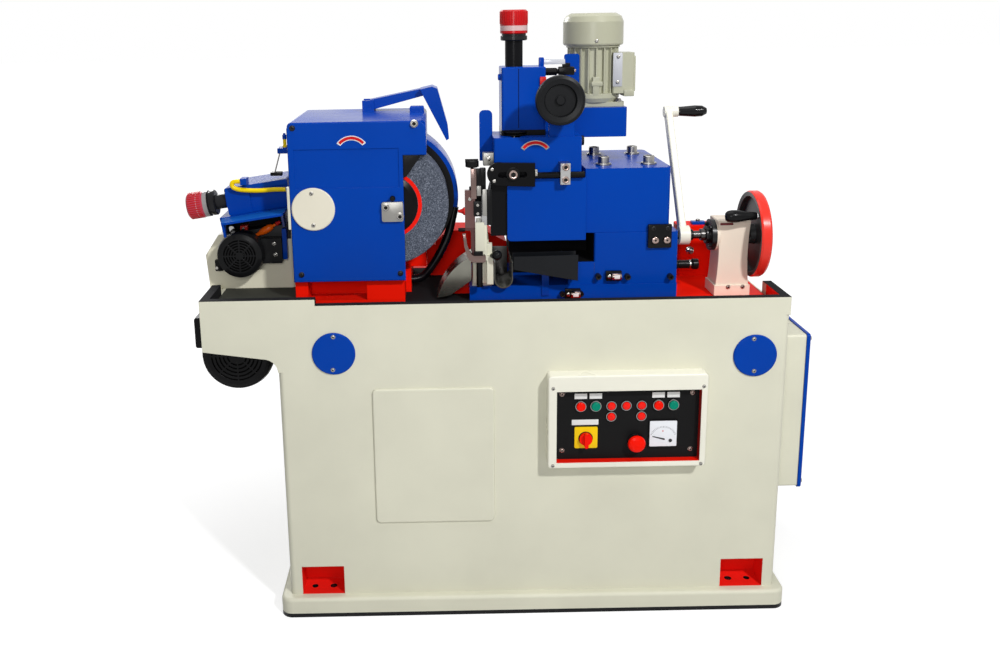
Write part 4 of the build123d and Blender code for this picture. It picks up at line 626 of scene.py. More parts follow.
def named_field(tree, name, kind):
    """Values that the points or faces carry under that name."""
    node = tree.nodes.new("GeometryNodeInputNamedAttribute")
    node.data_type = kind
    node.inputs["Name"].default_value = name
    return node.outputs["Attribute"]


def template_copies(tree, points, template, rotation, scale):
    """The template at every point, still as instances."""
    shape = wired(tree, "GeometryNodeObjectInfo", Object=template, **{"As Instance": True})
    node = wired(
        tree, "GeometryNodeInstanceOnPoints", Points=points, Instance=shape.outputs["Geometry"],
        Rotation=rotation, Scale=scale,
    )
    return node.outputs["Instances"]


def close_tree(tree, instances, material, end):
    """Makes the copies real, gives them their finish and shades the sockets of screws."""
    real = wired(tree, "GeometryNodeRealizeInstances", Geometry=instances).outputs["Geometry"]
    coat = wired(tree, "GeometryNodeSetMaterial", Geometry=real, Material=material).outputs["Geometry"]
    hollow = named_field(tree, "socket", "BOOLEAN")
    shade = wired(
        tree, "GeometryNodeSetMaterial", Geometry=coat, Selection=hollow, Material=FINISHES["socket shade"]
    )
    tree.links.new(shade.outputs["Geometry"], end["Copies"])


def placed_copies_tree():
    """A copy of the template at each point, turned and sized by the point's own facing and size."""
    tree, start, end = new_tree(
        SHAPE_TREE, "Placed copies",
        (("Points", SHAPE, None), ("Template", OBJECT, None), ("Finish", MATERIAL, None)),
        (("Copies", SHAPE),),
    )
    rotation = aligned(tree, named_field(tree, "facing", "FLOAT_VECTOR"))
    size = named_field(tree, "size", "FLOAT")
    instances = template_copies(tree, start["Points"], start["Template"], rotation, size)
    close_tree(tree, instances, start["Finish"], end)


def ring_copies_tree():
    """Copies of the template round an axis, a step apart, each turned with its place."""
    tree, start, end = new_tree(
        SHAPE_TREE, "Ring of copies",
        (
            ("Points", SHAPE, None), ("Template", OBJECT, None), ("Count", "NodeSocketInt", 12),
            ("Radius", FLOAT, 0.03), ("Start", FLOAT, 0.0), ("Step", FLOAT, 0.5),
            ("Place", VECTOR, (0, 0, 0)), ("Facing", VECTOR, (0, 0, 1)), ("Finish", MATERIAL, None),
        ),
        (("Copies", SHAPE),),
    )
    index = tree.nodes.new("GeometryNodeInputIndex").outputs["Index"]
    angle = math_node(tree, "ADD", math_node(tree, "MULTIPLY", index, start["Step"]), start["Start"])
    along, across = (
        math_node(tree, "MULTIPLY", math_node(tree, wave, angle), start["Radius"])
        for wave in ("COSINE", "SINE")
    )
    place = wired(tree, "ShaderNodeCombineXYZ", X=along, Y=across).outputs["Vector"]
    points = wired(tree, "GeometryNodePoints", Count=start["Count"], Position=place).outputs["Points"]
    turn = wired(tree, "ShaderNodeCombineXYZ", Z=angle).outputs["Vector"]
    spin = wired(tree, "FunctionNodeEulerToRotation", Euler=turn).outputs["Rotation"]
    instances = template_copies(tree, points, start["Template"], spin, (1, 1, 1))
    way = aligned(tree, start["Facing"])
    move = wired(
        tree, "GeometryNodeTransform", Geometry=instances, Translation=start["Place"], Rotation=way
    )
    close_tree(tree, move.outputs["Geometry"], start["Finish"], end)


def grown(context, name, points, tree_name, template, body, slot, **values):
    """Runs a tree on a mesh of points and keeps its result as a plain mesh on a body."""
    if tree_name not in GROUPS:
        {"Placed copies": placed_copies_tree, "Ring of copies": ring_copies_tree}[tree_name]()
    tree = GROUPS[tree_name]
    context.collection.objects.link(template)
    obj = bpy.data.objects.new(name, points)
    context.collection.objects.link(obj)
    modifier = obj.modifiers.new(tree_name, "NODES")
    modifier.node_group = tree
    keys = {item.name: item.identifier for item in tree.interface.items_tree if item.in_out == "INPUT"}
    modifier[keys["Template"]] = template
    for key, value in values.items():
        modifier[keys[key]] = value
    deps = context.evaluated_depsgraph_get()
    mesh = bpy.data.meshes.new_from_object(obj.evaluated_get(deps), depsgraph=deps)
    bpy.data.objects.remove(obj)
    bpy.data.objects.remove(template)
    if not mesh.polygons:
        raise RuntimeError(name + " came out empty")
    for field in ("facing", "size", "socket"):
        if field in mesh.attributes:
            mesh.attributes.remove(mesh.attributes[field])
    mesh.name = name
    for polygon in mesh.polygons:
        polygon.use_smooth = True
    mesh.set_sharp_from_angle(angle=SHARP_ANGLE)
    return settle(context, bpy.data.objects.new(name, mesh), body)


def template_of(context, profile, sides=None):
    """A template turned about Z, in metres."""
    verts, faces, hollow = revolved(profile, sides or context.scene.grinder_detail.sides)
    mesh = bpy.data.meshes.new("template")
    mesh.from_pydata([v * MM for v in verts], [], faces)
    shape = bmesh.new()
    shape.from_mesh(mesh)
    bmesh.ops.recalc_face_normals(shape, faces=shape.faces)
    shape.to_mesh(mesh)
    shape.free()
    mesh.attributes.new("socket", "BOOLEAN", "FACE").data.foreach_set("value", hollow)
    return bpy.data.objects.new("template", mesh)


def block_template(context, low, high, edge):
    """A template in the form of a rounded block, in metres."""
    fitting = Fitting(context)
    fitting.block(low, high, None, edge)
    mesh = bpy.data.meshes.new("template")
    fitting.mesh.to_mesh(mesh)
    fitting.mesh.free()
    return bpy.data.objects.new("template", mesh)


def copies(context, name, body, slot, look, template, places):
    """Copies at (x, y, z, facing) or (x, y, z, facing, size) places, in millimetres."""
    mesh = bpy.data.meshes.new(name)
    mesh.from_pydata([Vector(p[:3]) * MM for p in places], [], [])
    facing = mesh.attributes.new("facing", "FLOAT_VECTOR", "POINT")
    facing.data.foreach_set("vector", [c for p in places for c in p[3]])
    size = mesh.attributes.new("size", "FLOAT", "POINT")
    size.data.foreach_set("value", [p[4] if len(p) > 4 else 1.0 for p in places])
    return grown(context, name, mesh, "Placed copies", template, body, slot, Finish=FINISHES[look])


def ring_copies(
    context, name, body, slot, look, template, place, facing, count, radius, start=0.0, step=None
):
    """Copies round an axis through a place, in millimetres; all round where no step is given."""
    step = step if step is not None else 2 * math.pi / count
    return grown(
        context, name, bpy.data.meshes.new(name), "Ring of copies", template, body, slot,
        Finish=FINISHES[look], Count=count, Radius=radius * MM, Start=start, Step=step,
        Place=Vector(place) * MM, Facing=facing,
    )


def on_front(y, spots, size=1.0):
    """Places for copies that face the operator."""
    return [(x, y, z, FRONT, size) for x, z in spots]


# Profiles and outlines, in millimetres


def cap_screw(context, radius, height):
    """Socket cap screw: a straight head with a hexagon socket."""
    socket = 0.52 * radius
    profile = [
        (0, 0), (radius, 0), (radius, 0.86 * height), (0.9 * radius, height), (0.66 * radius, height),
        (socket, height - 0.04 * radius, "socket"), (socket, 0.45 * height, "socket"), (0, 0.42 * height),
    ]
    return template_of(context, profile)


def button_screw(context, radius):
    """Low round-headed screw with a hexagon socket, on a thin washer."""
    washer, socket = 1.15 * radius, 0.42 * radius
    profile = [
        (0, 0), (washer, 0), (washer, 0.16 * radius), (radius, 0.2 * radius), (0.94 * radius, 0.5 * radius),
        (0.74 * radius, 0.72 * radius), (0.5 * radius, 0.78 * radius), (socket, 0.76 * radius, "socket"),
        (socket, 0.34 * radius, "socket"), (0, 0.3 * radius),
    ]
    return template_of(context, profile, 24)


def stub(radius, shoulder, tip, height, neck=0, bore=0):
    """Straight to the shoulder, tapered to the tip, then a straight neck; a bore makes it a collar."""
    top = [(tip, height), (tip, height + neck)] if neck else [(tip, height)]
    return [(bore, 0), (radius, 0), (radius, shoulder), *top, (bore, height + neck)]


def arc_outline(inner, outer, half_angle, middle=math.pi / 2, steps=18):
    """Band of a ring about (0, 0), to both sides of its middle."""
    angles = [middle + half_angle * (1 - 2 * i / steps) for i in range(steps + 1)]
    edge = [(outer * math.cos(a), outer * math.sin(a)) for a in angles]
    return edge + [(inner * math.cos(a), inner * math.sin(a)) for a in reversed(angles)]


def rounded_outline(width, height, radius, steps=5):
    """Rectangle about (0, 0) with rounded corners."""
    points = []
    for turn, (sx, sy) in enumerate(((1, 1), (-1, 1), (-1, -1), (1, -1))):
        x, y = sx * (width / 2 - radius), sy * (height / 2 - radius)
        for i in range(steps + 1):
            a = math.pi / 2 * (turn + i / steps)
            points.append((x + radius * math.cos(a), y + radius * math.sin(a)))
    return points


def arc_badge(piece, place, thick, look, edge):
    """Plate in the form of an arc, with a red field, on a cover's front."""
    x, y, z = place
    piece.slab(arc_outline(33, 44, BADGE_HALF), place, FRONT, thick, look, edge)
    field = arc_outline(35, 42, BADGE_HALF - 0.09)
    piece.slab(field, (x, y - thick + 0.2, z), FRONT, 0.6, "label red", 0.2)


class GRINDER_OT_paint(bpy.types.Operator):
    """Give every CAD node its finish"""

    bl_idname = "grinder.paint"
    bl_label = "Paint the machine"

    def execute(self, context):
        for build in (box_mask_group, ring_mask_group, band_mask_group, ripple_group, grain_group):
            build()
        for coat in (
            self.cream_castings, self.blue_castings, self.red_and_black_castings, self.bare_metal,
            self.wheels_and_rubber, self.feed_end, self.dressers, self.small_fittings,
        ):
            coat(context.scene.grinder_paint)
        return {"FINISHED"}

    def cream_castings(self, paint):
        """The base, control box, cabinet, work rest, dresser's bracket and crank lever."""
        enamel = paint.enamel()
        pocket_red = (0.85, 0.016, 0.010)
        patches = [
            box((-1000, -1000, -10), (1000, 1000, 11), BLACK_TRIM_AND_SHADE),
            box((-530, -1000, 831.2), (1000, 1000, 900), BLACK_TRIM_AND_SHADE, rough=0.85),
            box((-1000, -1000, 847.2), (-520, 1000, 900), BLACK_TRIM_AND_SHADE, rough=0.85),
            box((-790, -299, 819), (-786, 1000, 848), BLACK_TRIM_AND_SHADE, rough=0.85),
            box((-789, -298.5, 819), (-530, 200, 821), (0.045, 0.046, 0.038), rough=0.7),
            box((-789.5, -298.5, 819), (-530, -297, 848), BLACK_TRIM_AND_SHADE),
            box((605, -300, 786), (607, -200, 831.5), paint.red),
        ]
        for low, high in ((-596.5, -486.5), (486.5, 596.5)):
            for near, far in ((-319.5, -200), (200, 319.5)):
                patches.append(box((low, near, 51.5), (high, far, 130.5), pocket_red))
            # Walls of the anchor bolt holes under the pockets: near black, painted shade
            for near, far in ((-298, -268), (268, 298)):
                patches.append(box((low, near, 0), (high, far, 51.8), BLACK_TRIM_AND_SHADE))
        wear(finish("base enamel", paint.cream, 0.4, gloss=0.15, patches=patches, **enamel), "base_casting")
        box_red = [
            box((54.5, -359.5, 425), (409.5, -337, 426.8), paint.red, rough=0.3),
            # The recess's right inner wall is a darker copy of the red: painted shade
            box((408.2, -359.5, 426), (410, -337, 613), (0.45, 0.01, 0.006), rough=0.3),
        ]
        wear(
            finish("control box enamel", (0.84, 0.825, 0.71), 0.3, gloss=0.3, patches=box_red, **enamel),
            "control_box",
        )
        wear(
            finish("cream enamel", paint.cream, 0.4, gloss=0.25, **enamel), "electrical_cabinet", "work_rest"
        )
        # Painted light on the bracket: its cream is lighter than the base's paint, and its top under the
        # saddle is near black with painted shade
        painted_shade_under_saddle = [box((-781, -110, 952), (-612, 100, 1000), BLACK_TRIM_AND_SHADE, rough=0.4)]
        wear(
            finish("bracket enamel", (0.80, 0.765, 0.60), 0.36, gloss=0.2, patches=painted_shade_under_saddle, **enamel),
            "dresser_bracket",
        )
        wear(finish("pale enamel", (0.78, 0.765, 0.66), 0.36, gloss=0.3, **enamel), "crank_lever")

    def blue_castings(self, paint):
        """The guard, the slides, the regulating head, the dressers' bases and the round covers."""
        glossy = paint.glossy()
        wear(
            finish("blue enamel", paint.blue, **glossy),
            "cabinet_cover", "wheel_guard_body", "wheel_guard_cover", "splash_flap", "belt_guard",
            "lower_slide", "regulating_housing", "drive_box",
        )
        # Painted shade: the slide under the housing, behind the chute, is near black
        painted_shade_under_housing = [
            box((-60, -85, 840), (164.5, 60, 970), BLACK_TRIM_AND_SHADE),
            box((-60, -206, 899), (164.5, 60, 970), BLACK_TRIM_AND_SHADE, rough=0.85),
        ]
        wear(finish("slide enamel", paint.blue, patches=painted_shade_under_housing, **glossy), "upper_slide")
        inner_plate = box((-120, -221.5, 900), (-54.5, -200, 1130), BLACK_TRIM_AND_SHADE)
        wear(finish("front cover enamel", paint.blue, patches=[inner_plate], **glossy), "regulating_cover")
        clamp = box((72.5, -260, 1090), (97.5, -212.5, 1170), (0.34, 0.34, 0.34), metal=1.0, rough=0.3)
        # Painted shade: the face seen through the slotted arm is near black
        painted_shade_behind_arm = box((-90, -213, 1118), (14, -211, 1150), BLACK_TRIM_AND_SHADE)
        wear(finish("dresser base enamel", paint.blue, patches=[clamp, painted_shade_behind_arm], **glossy), "dresser_base")
        # Painted shade: the saddle's inside under its plate is near black
        painted_shade_in_saddle = box((-781, -126, 940), (-616, 100, 1003), BLACK_TRIM_AND_SHADE, rough=0.6)
        wear(finish("saddle enamel", paint.blue, patches=[painted_shade_in_saddle], **glossy), "dresser_saddle")
        disc_cream = box((-650, -300, 900), (-400, -200, 1200), (0.77, 0.73, 0.60), rough=0.4)
        wear(finish("disc enamel", paint.blue, patches=[disc_cream], **glossy), "inspection_discs")

    def red_and_black_castings(self, paint):
        """The bed, the wheel head, the motors, the arm and the control plate."""
        enamel = paint.enamel()
        # Painted shade: the bed's floor from the left end to the work rest, short of the rear rim, is near
        # black
        painted_shade_on_bed = box((-562, -300, 785), (-130, 132, 808), (0.012, 0.012, 0.013), rough=0.85)
        wear(finish("bed enamel", paint.red, 0.42, gloss=0.04, patches=[painted_shade_on_bed], **enamel), "bed_casting")
        wear(finish("red enamel", paint.red, 0.3, gloss=0.05, **enamel), "wheelhead_casting")
        wear(finish("motor enamel", paint.motor, 0.36, gloss=0.3, **enamel), "drive_motor")
        wear(
            finish("black enamel", paint.black, 0.24, gloss=0.07, **enamel),
            "adjusting_arm", "wheel_flanges", "grinding_spindle", "rest_screw",
        )
        fan_end = (MOTOR_AXIS[0], -250, MOTOR_AXIS[1])
        for name, node, cowl, place, slots in (
            ("main motor enamel", "main_motor", (0.0045, 0.0045, 0.005), fan_end, 67.5),
            ("traverse motor enamel", "dresser_motor", (0.008, 0.0082, 0.0088), (-737, -166, 921), 43.5),
        ):
            # The grille slots' floors are near black, painted shade inside the slots; the ring puts the
            # cowl's colour back outside them
            grille_slot_shade = [
                band(place, BACK, 0.6, 5.6, (0.0006, 0.0006, 0.0006), rough=0.9),
                ring(place, (1, 0, 1), slots, 1000, cowl, rough=0.24),
            ]
            wear(finish(name, cowl, 0.24, gloss=0.08, patches=grille_slot_shade, **enamel), node)
        plate = {"ripple": (1400.0, 0.04), "tint": 0.15}
        wear(finish("panel sheet", (0.0095, 0.0095, 0.0098), 0.4, gloss=0.05, **plate), "control_plate")

    def bare_metal(self, paint):
        """Ground and dark steel, the trough, the chute and the guides."""
        wear(
            finish("ground steel", (0.56, 0.56, 0.55), 0.28, metal=1.0, edge=0.0006, **BRUSHED),
            "spindle_bearings", "dresser_quill", "work_blade", "regulating_spindle", "worm_shaft",
            "reg_dresser_quill",
        )
        wear(
            finish("dark steel", (0.06, 0.058, 0.056), 0.26, metal=1.0, edge=0.0006, **BRUSHED),
            "motor_pulley", "feed_screw",
        )
        cup = box((-100, -240, 800), (-40, -110, 930), (0.085, 0.086, 0.072), rough=0.2)
        sheet = {"ripple": (60.0, 0.12), "tint": 0.5, "edge": 0.001}
        wear(
            finish("trough sheet", (0.24, 0.235, 0.20), 0.26, metal=1.0, patches=[cup], **sheet),
            "coolant_trough",
        )
        chute_tab = box((31.5, -218.5, 810), (51, -213, 881), paint.blue)
        wear(
            finish("dark sheet", (0.007, 0.008, 0.010), 0.22, gloss=0.12, patches=[chute_tab], **sheet),
            "discharge_chute",
        )
        # The left guide's pink tint is a painted reflection of the red castings; it is darker towards the
        # bottom
        left_guide = [
            box((-165, -240, 920), (-134.5, -215, 1000), (0.085, 0.036, 0.034), metal=0.5, rough=0.22),
            box((-165, -240, 1000), (-134.5, -215, 1101), (0.13, 0.07, 0.066), metal=0.8, rough=0.16),
        ]
        wear(
            finish(
                "guide steel", (0.34, 0.34, 0.34), 0.25, metal=1.0, patches=left_guide, edge=0.0008, **BRUSHED
            ),
            "work_guides",
        )

    def wheels_and_rubber(self, paint):
        """Both wheels, the belts, the dresser's handwheel and the lever's grip."""
        blotter = ring((WHEEL_AXIS[0], 0, WHEEL_AXIS[1]), (1, 0, 1), 76.5, 86, paint.red)
        wear(
            grain_finish("grey abrasive", (0.042, 0.051, 0.072), (0.26, 0.29, 0.36), 560.0, 0.9, [blotter]),
            "grinding_wheel",
        )
        wear(
            grain_finish("rubber bond", (0.008, 0.008, 0.009), (0.06, 0.06, 0.062), 620.0, 0.75),
            "regulating_wheel",
        )
        wear(finish("belt rubber", (0.012, 0.012, 0.013), 0.6, ripple=(600.0, 0.2)), "drive_belts")
        wear(
            finish("black moulding", (0.008, 0.0085, 0.0095), 0.3, gloss=0.09, **MOULDED), "dresser_handwheel"
        )
        wear(finish("black grip", (0.004, 0.004, 0.0045), 0.14, gloss=0.16, **MOULDED), "crank_grip")

    def feed_end(self, paint):
        """The pedestal, the feed handwheel and its handle."""
        enamel = paint.enamel()
        flange = box((440, -220, 900), (474, -120, 1010), paint.black, rough=0.3)
        # The pedestal's warmer cream is a painted reflection of the red bed
        wear(
            finish("pedestal enamel", (0.80, 0.69, 0.57), 0.4, gloss=0.25, patches=[flange], **enamel),
            "feed_pedestal",
        )
        iron = ring((0, *FEED_AXIS), (0, 1, 1), 0.0, 107.3, (0.022, 0.022, 0.023), rough=0.35)
        wear(
            finish("handwheel enamel", (0.78, 0.035, 0.022), 0.26, gloss=0.2, patches=[iron], **enamel),
            "feed_handwheel",
        )
        ferrule = box((561, -1000, 0), (1000, 1000, 2000), (0.6, 0.6, 0.6), metal=1.0, rough=0.25)
        wear(
            finish("handle moulding", (0.004, 0.004, 0.0045), 0.14, gloss=0.16, patches=[ferrule], **MOULDED),
            "handwheel_handle",
        )

    def dressers(self, paint):
        """The carriages and the feed knobs of both dressers."""
        glossy = paint.glossy()
        neck = box((-1000, -200, 900), (-773.5, 100, 1200), (0.022, 0.022, 0.024))
        wear(finish("carriage enamel", paint.blue, patches=[neck], **glossy), "dresser_carriage")
        dark = [
            box((-200, -500, 1386.5), (200, 200, 1600), BLACK_TRIM_AND_SHADE),
            box((-200, -500, 1200), (200, 200, 1232.5), BLACK_TRIM_AND_SHADE),
            box((-23.2, -172, 1237), (-21, -165, 1383), (0.0008, 0.008, 0.06)),
        ]
        wear(finish("upper carriage enamel", paint.blue, patches=dark, **glossy), "reg_dresser_carriage")
        left_bands = [
            band(LEFT_KNOB, LEFT_KNOB_OUT, -40, 20, (0.012, 0.012, 0.014)),
            band(LEFT_KNOB, LEFT_KNOB_OUT, 20, 31, (0.36, 0.34, 0.34)),
            band(LEFT_KNOB, LEFT_KNOB_OUT, 47, 48.2, (0.75, 0.5, 0.52)),
        ]
        knob = {"rough": 0.22, "gloss": 0.15, "ripple": (500.0, 0.05), "tint": 0.25}
        wear(finish("left knob", (0.58, 0.05, 0.09), patches=left_bands, **knob), "dresser_knob")
        top_bands = [
            band(TOP_KNOB, UP, -40, 16, (0.012, 0.012, 0.013)),
            band(TOP_KNOB, UP, 24, 36, (0.72, 0.50, 0.49)),
        ]
        wear(finish("upper knob", (0.55, 0.008, 0.012), patches=top_bands, **knob), "reg_dresser_knob")

    def small_fittings(self, paint):
        """Finishes of the push buttons and of what the other steps fit."""
        cap = {"rough": 0.24, "gloss": 0.08, "ripple": (700.0, 0.03)}
        wear(
            finish("red cap", (0.92, 0.008, 0.001), **cap),
            "wheel_stop_button", "regulating_stop_button", "emergency_stop", "switch_knob",
        )
        wear(finish("green cap", (0.0, 0.24, 0.15), **cap), "wheel_start_button", "regulating_start_button")
        for name, colour, rough, metal, gloss in (
            ("chrome", (0.40, 0.40, 0.40), 0.14, 1.0, 0.3),
            ("bezel steel", (0.24, 0.24, 0.235), 0.16, 1.0, 0.3),
            ("bright screw", (0.30, 0.29, 0.27), 0.24, 1.0, 0.3),
            ("warm steel", (0.30, 0.225, 0.20), 0.2, 1.0, 0.3),
            ("hook steel", (0.15, 0.105, 0.095), 0.18, 1.0, 0.3),
            ("dull plate", (0.44, 0.45, 0.48), 0.5, 0.2, 0.2),
            ("shelf blue", (0.006, 0.105, 0.47), 0.45, 0.0, 0.05),
            ("black screw", (0.008, 0.008, 0.009), 0.24, 0.0, 0.2),
            ("small moulding", (0.005, 0.005, 0.0055), 0.24, 0.0, 0.1),
            ("orange moulding", (0.92, 0.13, 0.004), 0.26, 0.0, 0.15),
            ("label white", (0.80, 0.80, 0.79), 0.4, 0.0, 0.3),
            ("label red", (0.62, 0.008, 0.010), 0.3, 0.0, 0.12),
            ("plate yellow", (0.93, 0.62, 0.004), 0.3, 0.0, 0.15),
            ("dial white", (0.82, 0.84, 0.88), 0.3, 0.0, 0.4),
            ("needle ink", (0.02, 0.02, 0.022), 0.4, 0.0, 0.3),
            ("blue fitting", paint.blue, 0.16, 0.0, 0.06),
            ("cream fitting", paint.cream, 0.38, 0.0, 0.25),
            ("motor fitting", paint.motor, 0.36, 0.0, 0.3),
            ("red fitting", (0.55, 0.016, 0.012), 0.26, 0.0, 0.15),
            ("slot dark red", (0.13, 0.008, 0.01), 0.4, 0.0, 0.3),
            ("clear strip", (0.60, 0.62, 0.66), 0.15, 0.0, 0.5),
            ("socket shade", (0.012, 0.012, 0.012), 0.5, 0.0, 0.1),
            ("seam", (0.0008, 0.012, 0.09), 0.4, 0.0, 0.3),
        ):
            finish(name, colour, rough, metal, gloss, **SMALL)
        finish("plate steel", (0.23, 0.225, 0.21), 0.34, metal=0.9, **BRUSHED)
        finish("lamp lens", (0.92, 0.010, 0.004), 0.16, gloss=0.1, coat=0.1, **SMALL)
        finish("yellow tube", (0.93, 0.66, 0.002), 0.24, gloss=0.15, ripple=(300.0, 0.08))
        finish("black tube", (0.004, 0.004, 0.0055), 0.16, gloss=0.25, ripple=(200.0, 0.15))


class GRINDER_OT_hoses(bpy.types.Operator):
    """Lay the coolant hose and the dresser's tube along their routes"""

    bl_idname = "grinder.hoses"
    bl_label = "Lay the hoses"

    def execute(self, context):
        coolant_y, top_x, top_z = -75.0, -179.17, 1025.53
        drop = ((3, 1.3), (9, 28), (21, 78), (46, 132), (74, 174), (96, 196))
        coolant = [(top_x - dx, coolant_y, top_z - dz) for dx, dz in drop]
        coolant.append((-299.98, coolant_y, top_z - 196))
        tube_y = -130
        bends = (
            (-729.02, 1110), (-741, 1111), (-752, 1107), (-752, 1096), (-738, 1089), (-710, 1086),
            (-677, 1085), (-643, 1088), (-614.02, 1087),
        )
        tube = [(x, tube_y, z) for x, z in bends]
        for name, route, radius, look, body, node, slot, length in (
            ("coolant_tube", coolant, 11.0, "black tube", "machine", "coolant_hose", "hose_rubber", 0.242),
            ("dresser_tube", tube, 6.0, "yellow tube", "wheel_dresser", "dresser_hose", "yellow_tube", 0.172),
        ):
            self.lay(context, name, route, radius, look, body, node, slot, length)
        return {"FINISHED"}

    def lay(self, context, name, route, radius, look, body, node, slot, length):
        """A hose along its route, in place of its CAD node."""
        curve = bpy.data.curves.new(name, "CURVE")
        curve.dimensions = "3D"
        curve.bevel_depth = radius * MM
        curve.bevel_resolution = 6
        curve.use_fill_caps = True
        curve.resolution_u = 14
        spline = curve.splines.new("NURBS")
        spline.points.add(len(route) - 1)
        for point, place in zip(spline.points, route):
            point.co = (*(Vector(place) * MM), 1.0)
        spline.order_u = 3
        spline.use_endpoint_u = True
        curve.materials.append(FINISHES[look])
        obj = settle(context, bpy.data.objects.new(name, curve), body)
        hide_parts(node)


class GRINDER_OT_control_panel(bpy.types.Operator):
    """Fit the bezels, lamps, labels, switch plate, meter, screws and stop collar of the control panel"""

    bl_idname = "grinder.control_panel"
    bl_label = "Fit the control panel"

    def execute(self, context):
        bezel = [(11.2, 0), (14.6, 0), (14.6, 3.2), (13.6, 4.8), (12.0, 4.8), (11.2, 4.0)]
        rings = on_front(PLATE_Y, PANEL_BUTTONS) + on_front(PLATE_Y, PANEL_LAMPS, 0.93)
        copies(context, "panel_bezels", "machine", "steel", "bezel steel", template_of(context, bezel), rings)
        dome = [(0, -2), (9.8, -2), (9.8, 5.4), (9.0, 6.8), (6.0, 7.8), (2.5, 8.2), (0, 8.25)]
        lens = template_of(context, dome)
        lamps = on_front(PLATE_Y, PANEL_LAMPS)
        copies(context, "panel_lamps", "machine", "red_button", "lamp lens", lens, lamps)
        label = block_template(context, (-15.4, -7, 0), (15.4, 7, 0.9), 0.4)
        places = on_front(PLATE_Y, [(x, z + 25.5) for x, z in PANEL_BUTTONS])
        copies(context, "panel_labels", "machine", "black_plastic", "label white", label, places)

        plate = Fitting(context)
        plate.block((95, PLATE_Y - 0.9, 517), (161, PLATE_Y, 531), "label white", 0.4)
        plate.slab(rounded_outline(57, 56, 3.0), (130.5, PLATE_Y, 484), FRONT, 2.4, "plate yellow", 0.6)
        plate.make("switch_plate", "machine", "black_plastic")
        self.fit_meter(context)

        for name, look, radius, y, spots in (
            ("box_screws", BRIGHT, 4.0, FRAME_Y, ((46, 622), (413, 621), (46, 419), (413, 418))),
            ("plate_screws", WARM, 5.4, PLATE_Y, ((70, 599), (392, 597), (71, 450), (391, 448))),
        ):
            copies(context, name, "machine", "steel", look, button_screw(context, radius), on_front(y, spots))
        collar = Fitting(context)
        collar.turned(stub(20.5, 4.6, 19.4, 6.0, bore=13.0), (253.5, PLATE_Y, 472), FRONT, MOULDING)
        collar.make("stop_collar", "machine", "black_plastic")
        return {"FINISHED"}

    def fit_meter(self, context):
        """The meter's case, dial, needle, set screw and graduations."""
        x, face_y = 321.5, PLATE_Y - 5.2
        pivot = (x, face_y, 478.0)
        meter = Fitting(context)
        meter.slab(rounded_outline(72, 74, 3.0), (x, PLATE_Y, 491), FRONT, 4.0, MOULDING, 0.8)
        meter.slab(rounded_outline(67, 67, 2.0), (x, PLATE_Y - 3.6, 492), FRONT, 1.6, "dial white", 0.5)
        needle = [(-27, 6.4), (-26.4, 8.0), (3.5, 1.2), (4.5, -2.4), (1.0, -2.2)]
        meter.slab(needle, pivot, FRONT, 0.9, "needle ink")
        meter.turned(stub(4.2, 2.2, 3.2, 3.0), (x + 18, face_y, 474), FRONT, "needle ink", 20)
        dot = [(0, 0), (1.8, 0), (1.6, 0.5), (0, 0.6)]
        meter.turned(dot, (x - 1, face_y, 499), FRONT, "label red", 16)
        meter.make("panel_meter", "machine", "black_plastic")
        tick = block_template(context, (-2.2, -0.35, -0.05), (2.2, 0.35, 0.3), 0.1)
        count = context.scene.grinder_detail.meter_ticks
        first, sweep = math.radians(22), math.radians(136)
        ring_copies(
            context, "meter_ticks", "machine", "black_plastic", "needle ink", tick, pivot, FRONT, count, 32.0,
            first, sweep / (count - 1),
        )


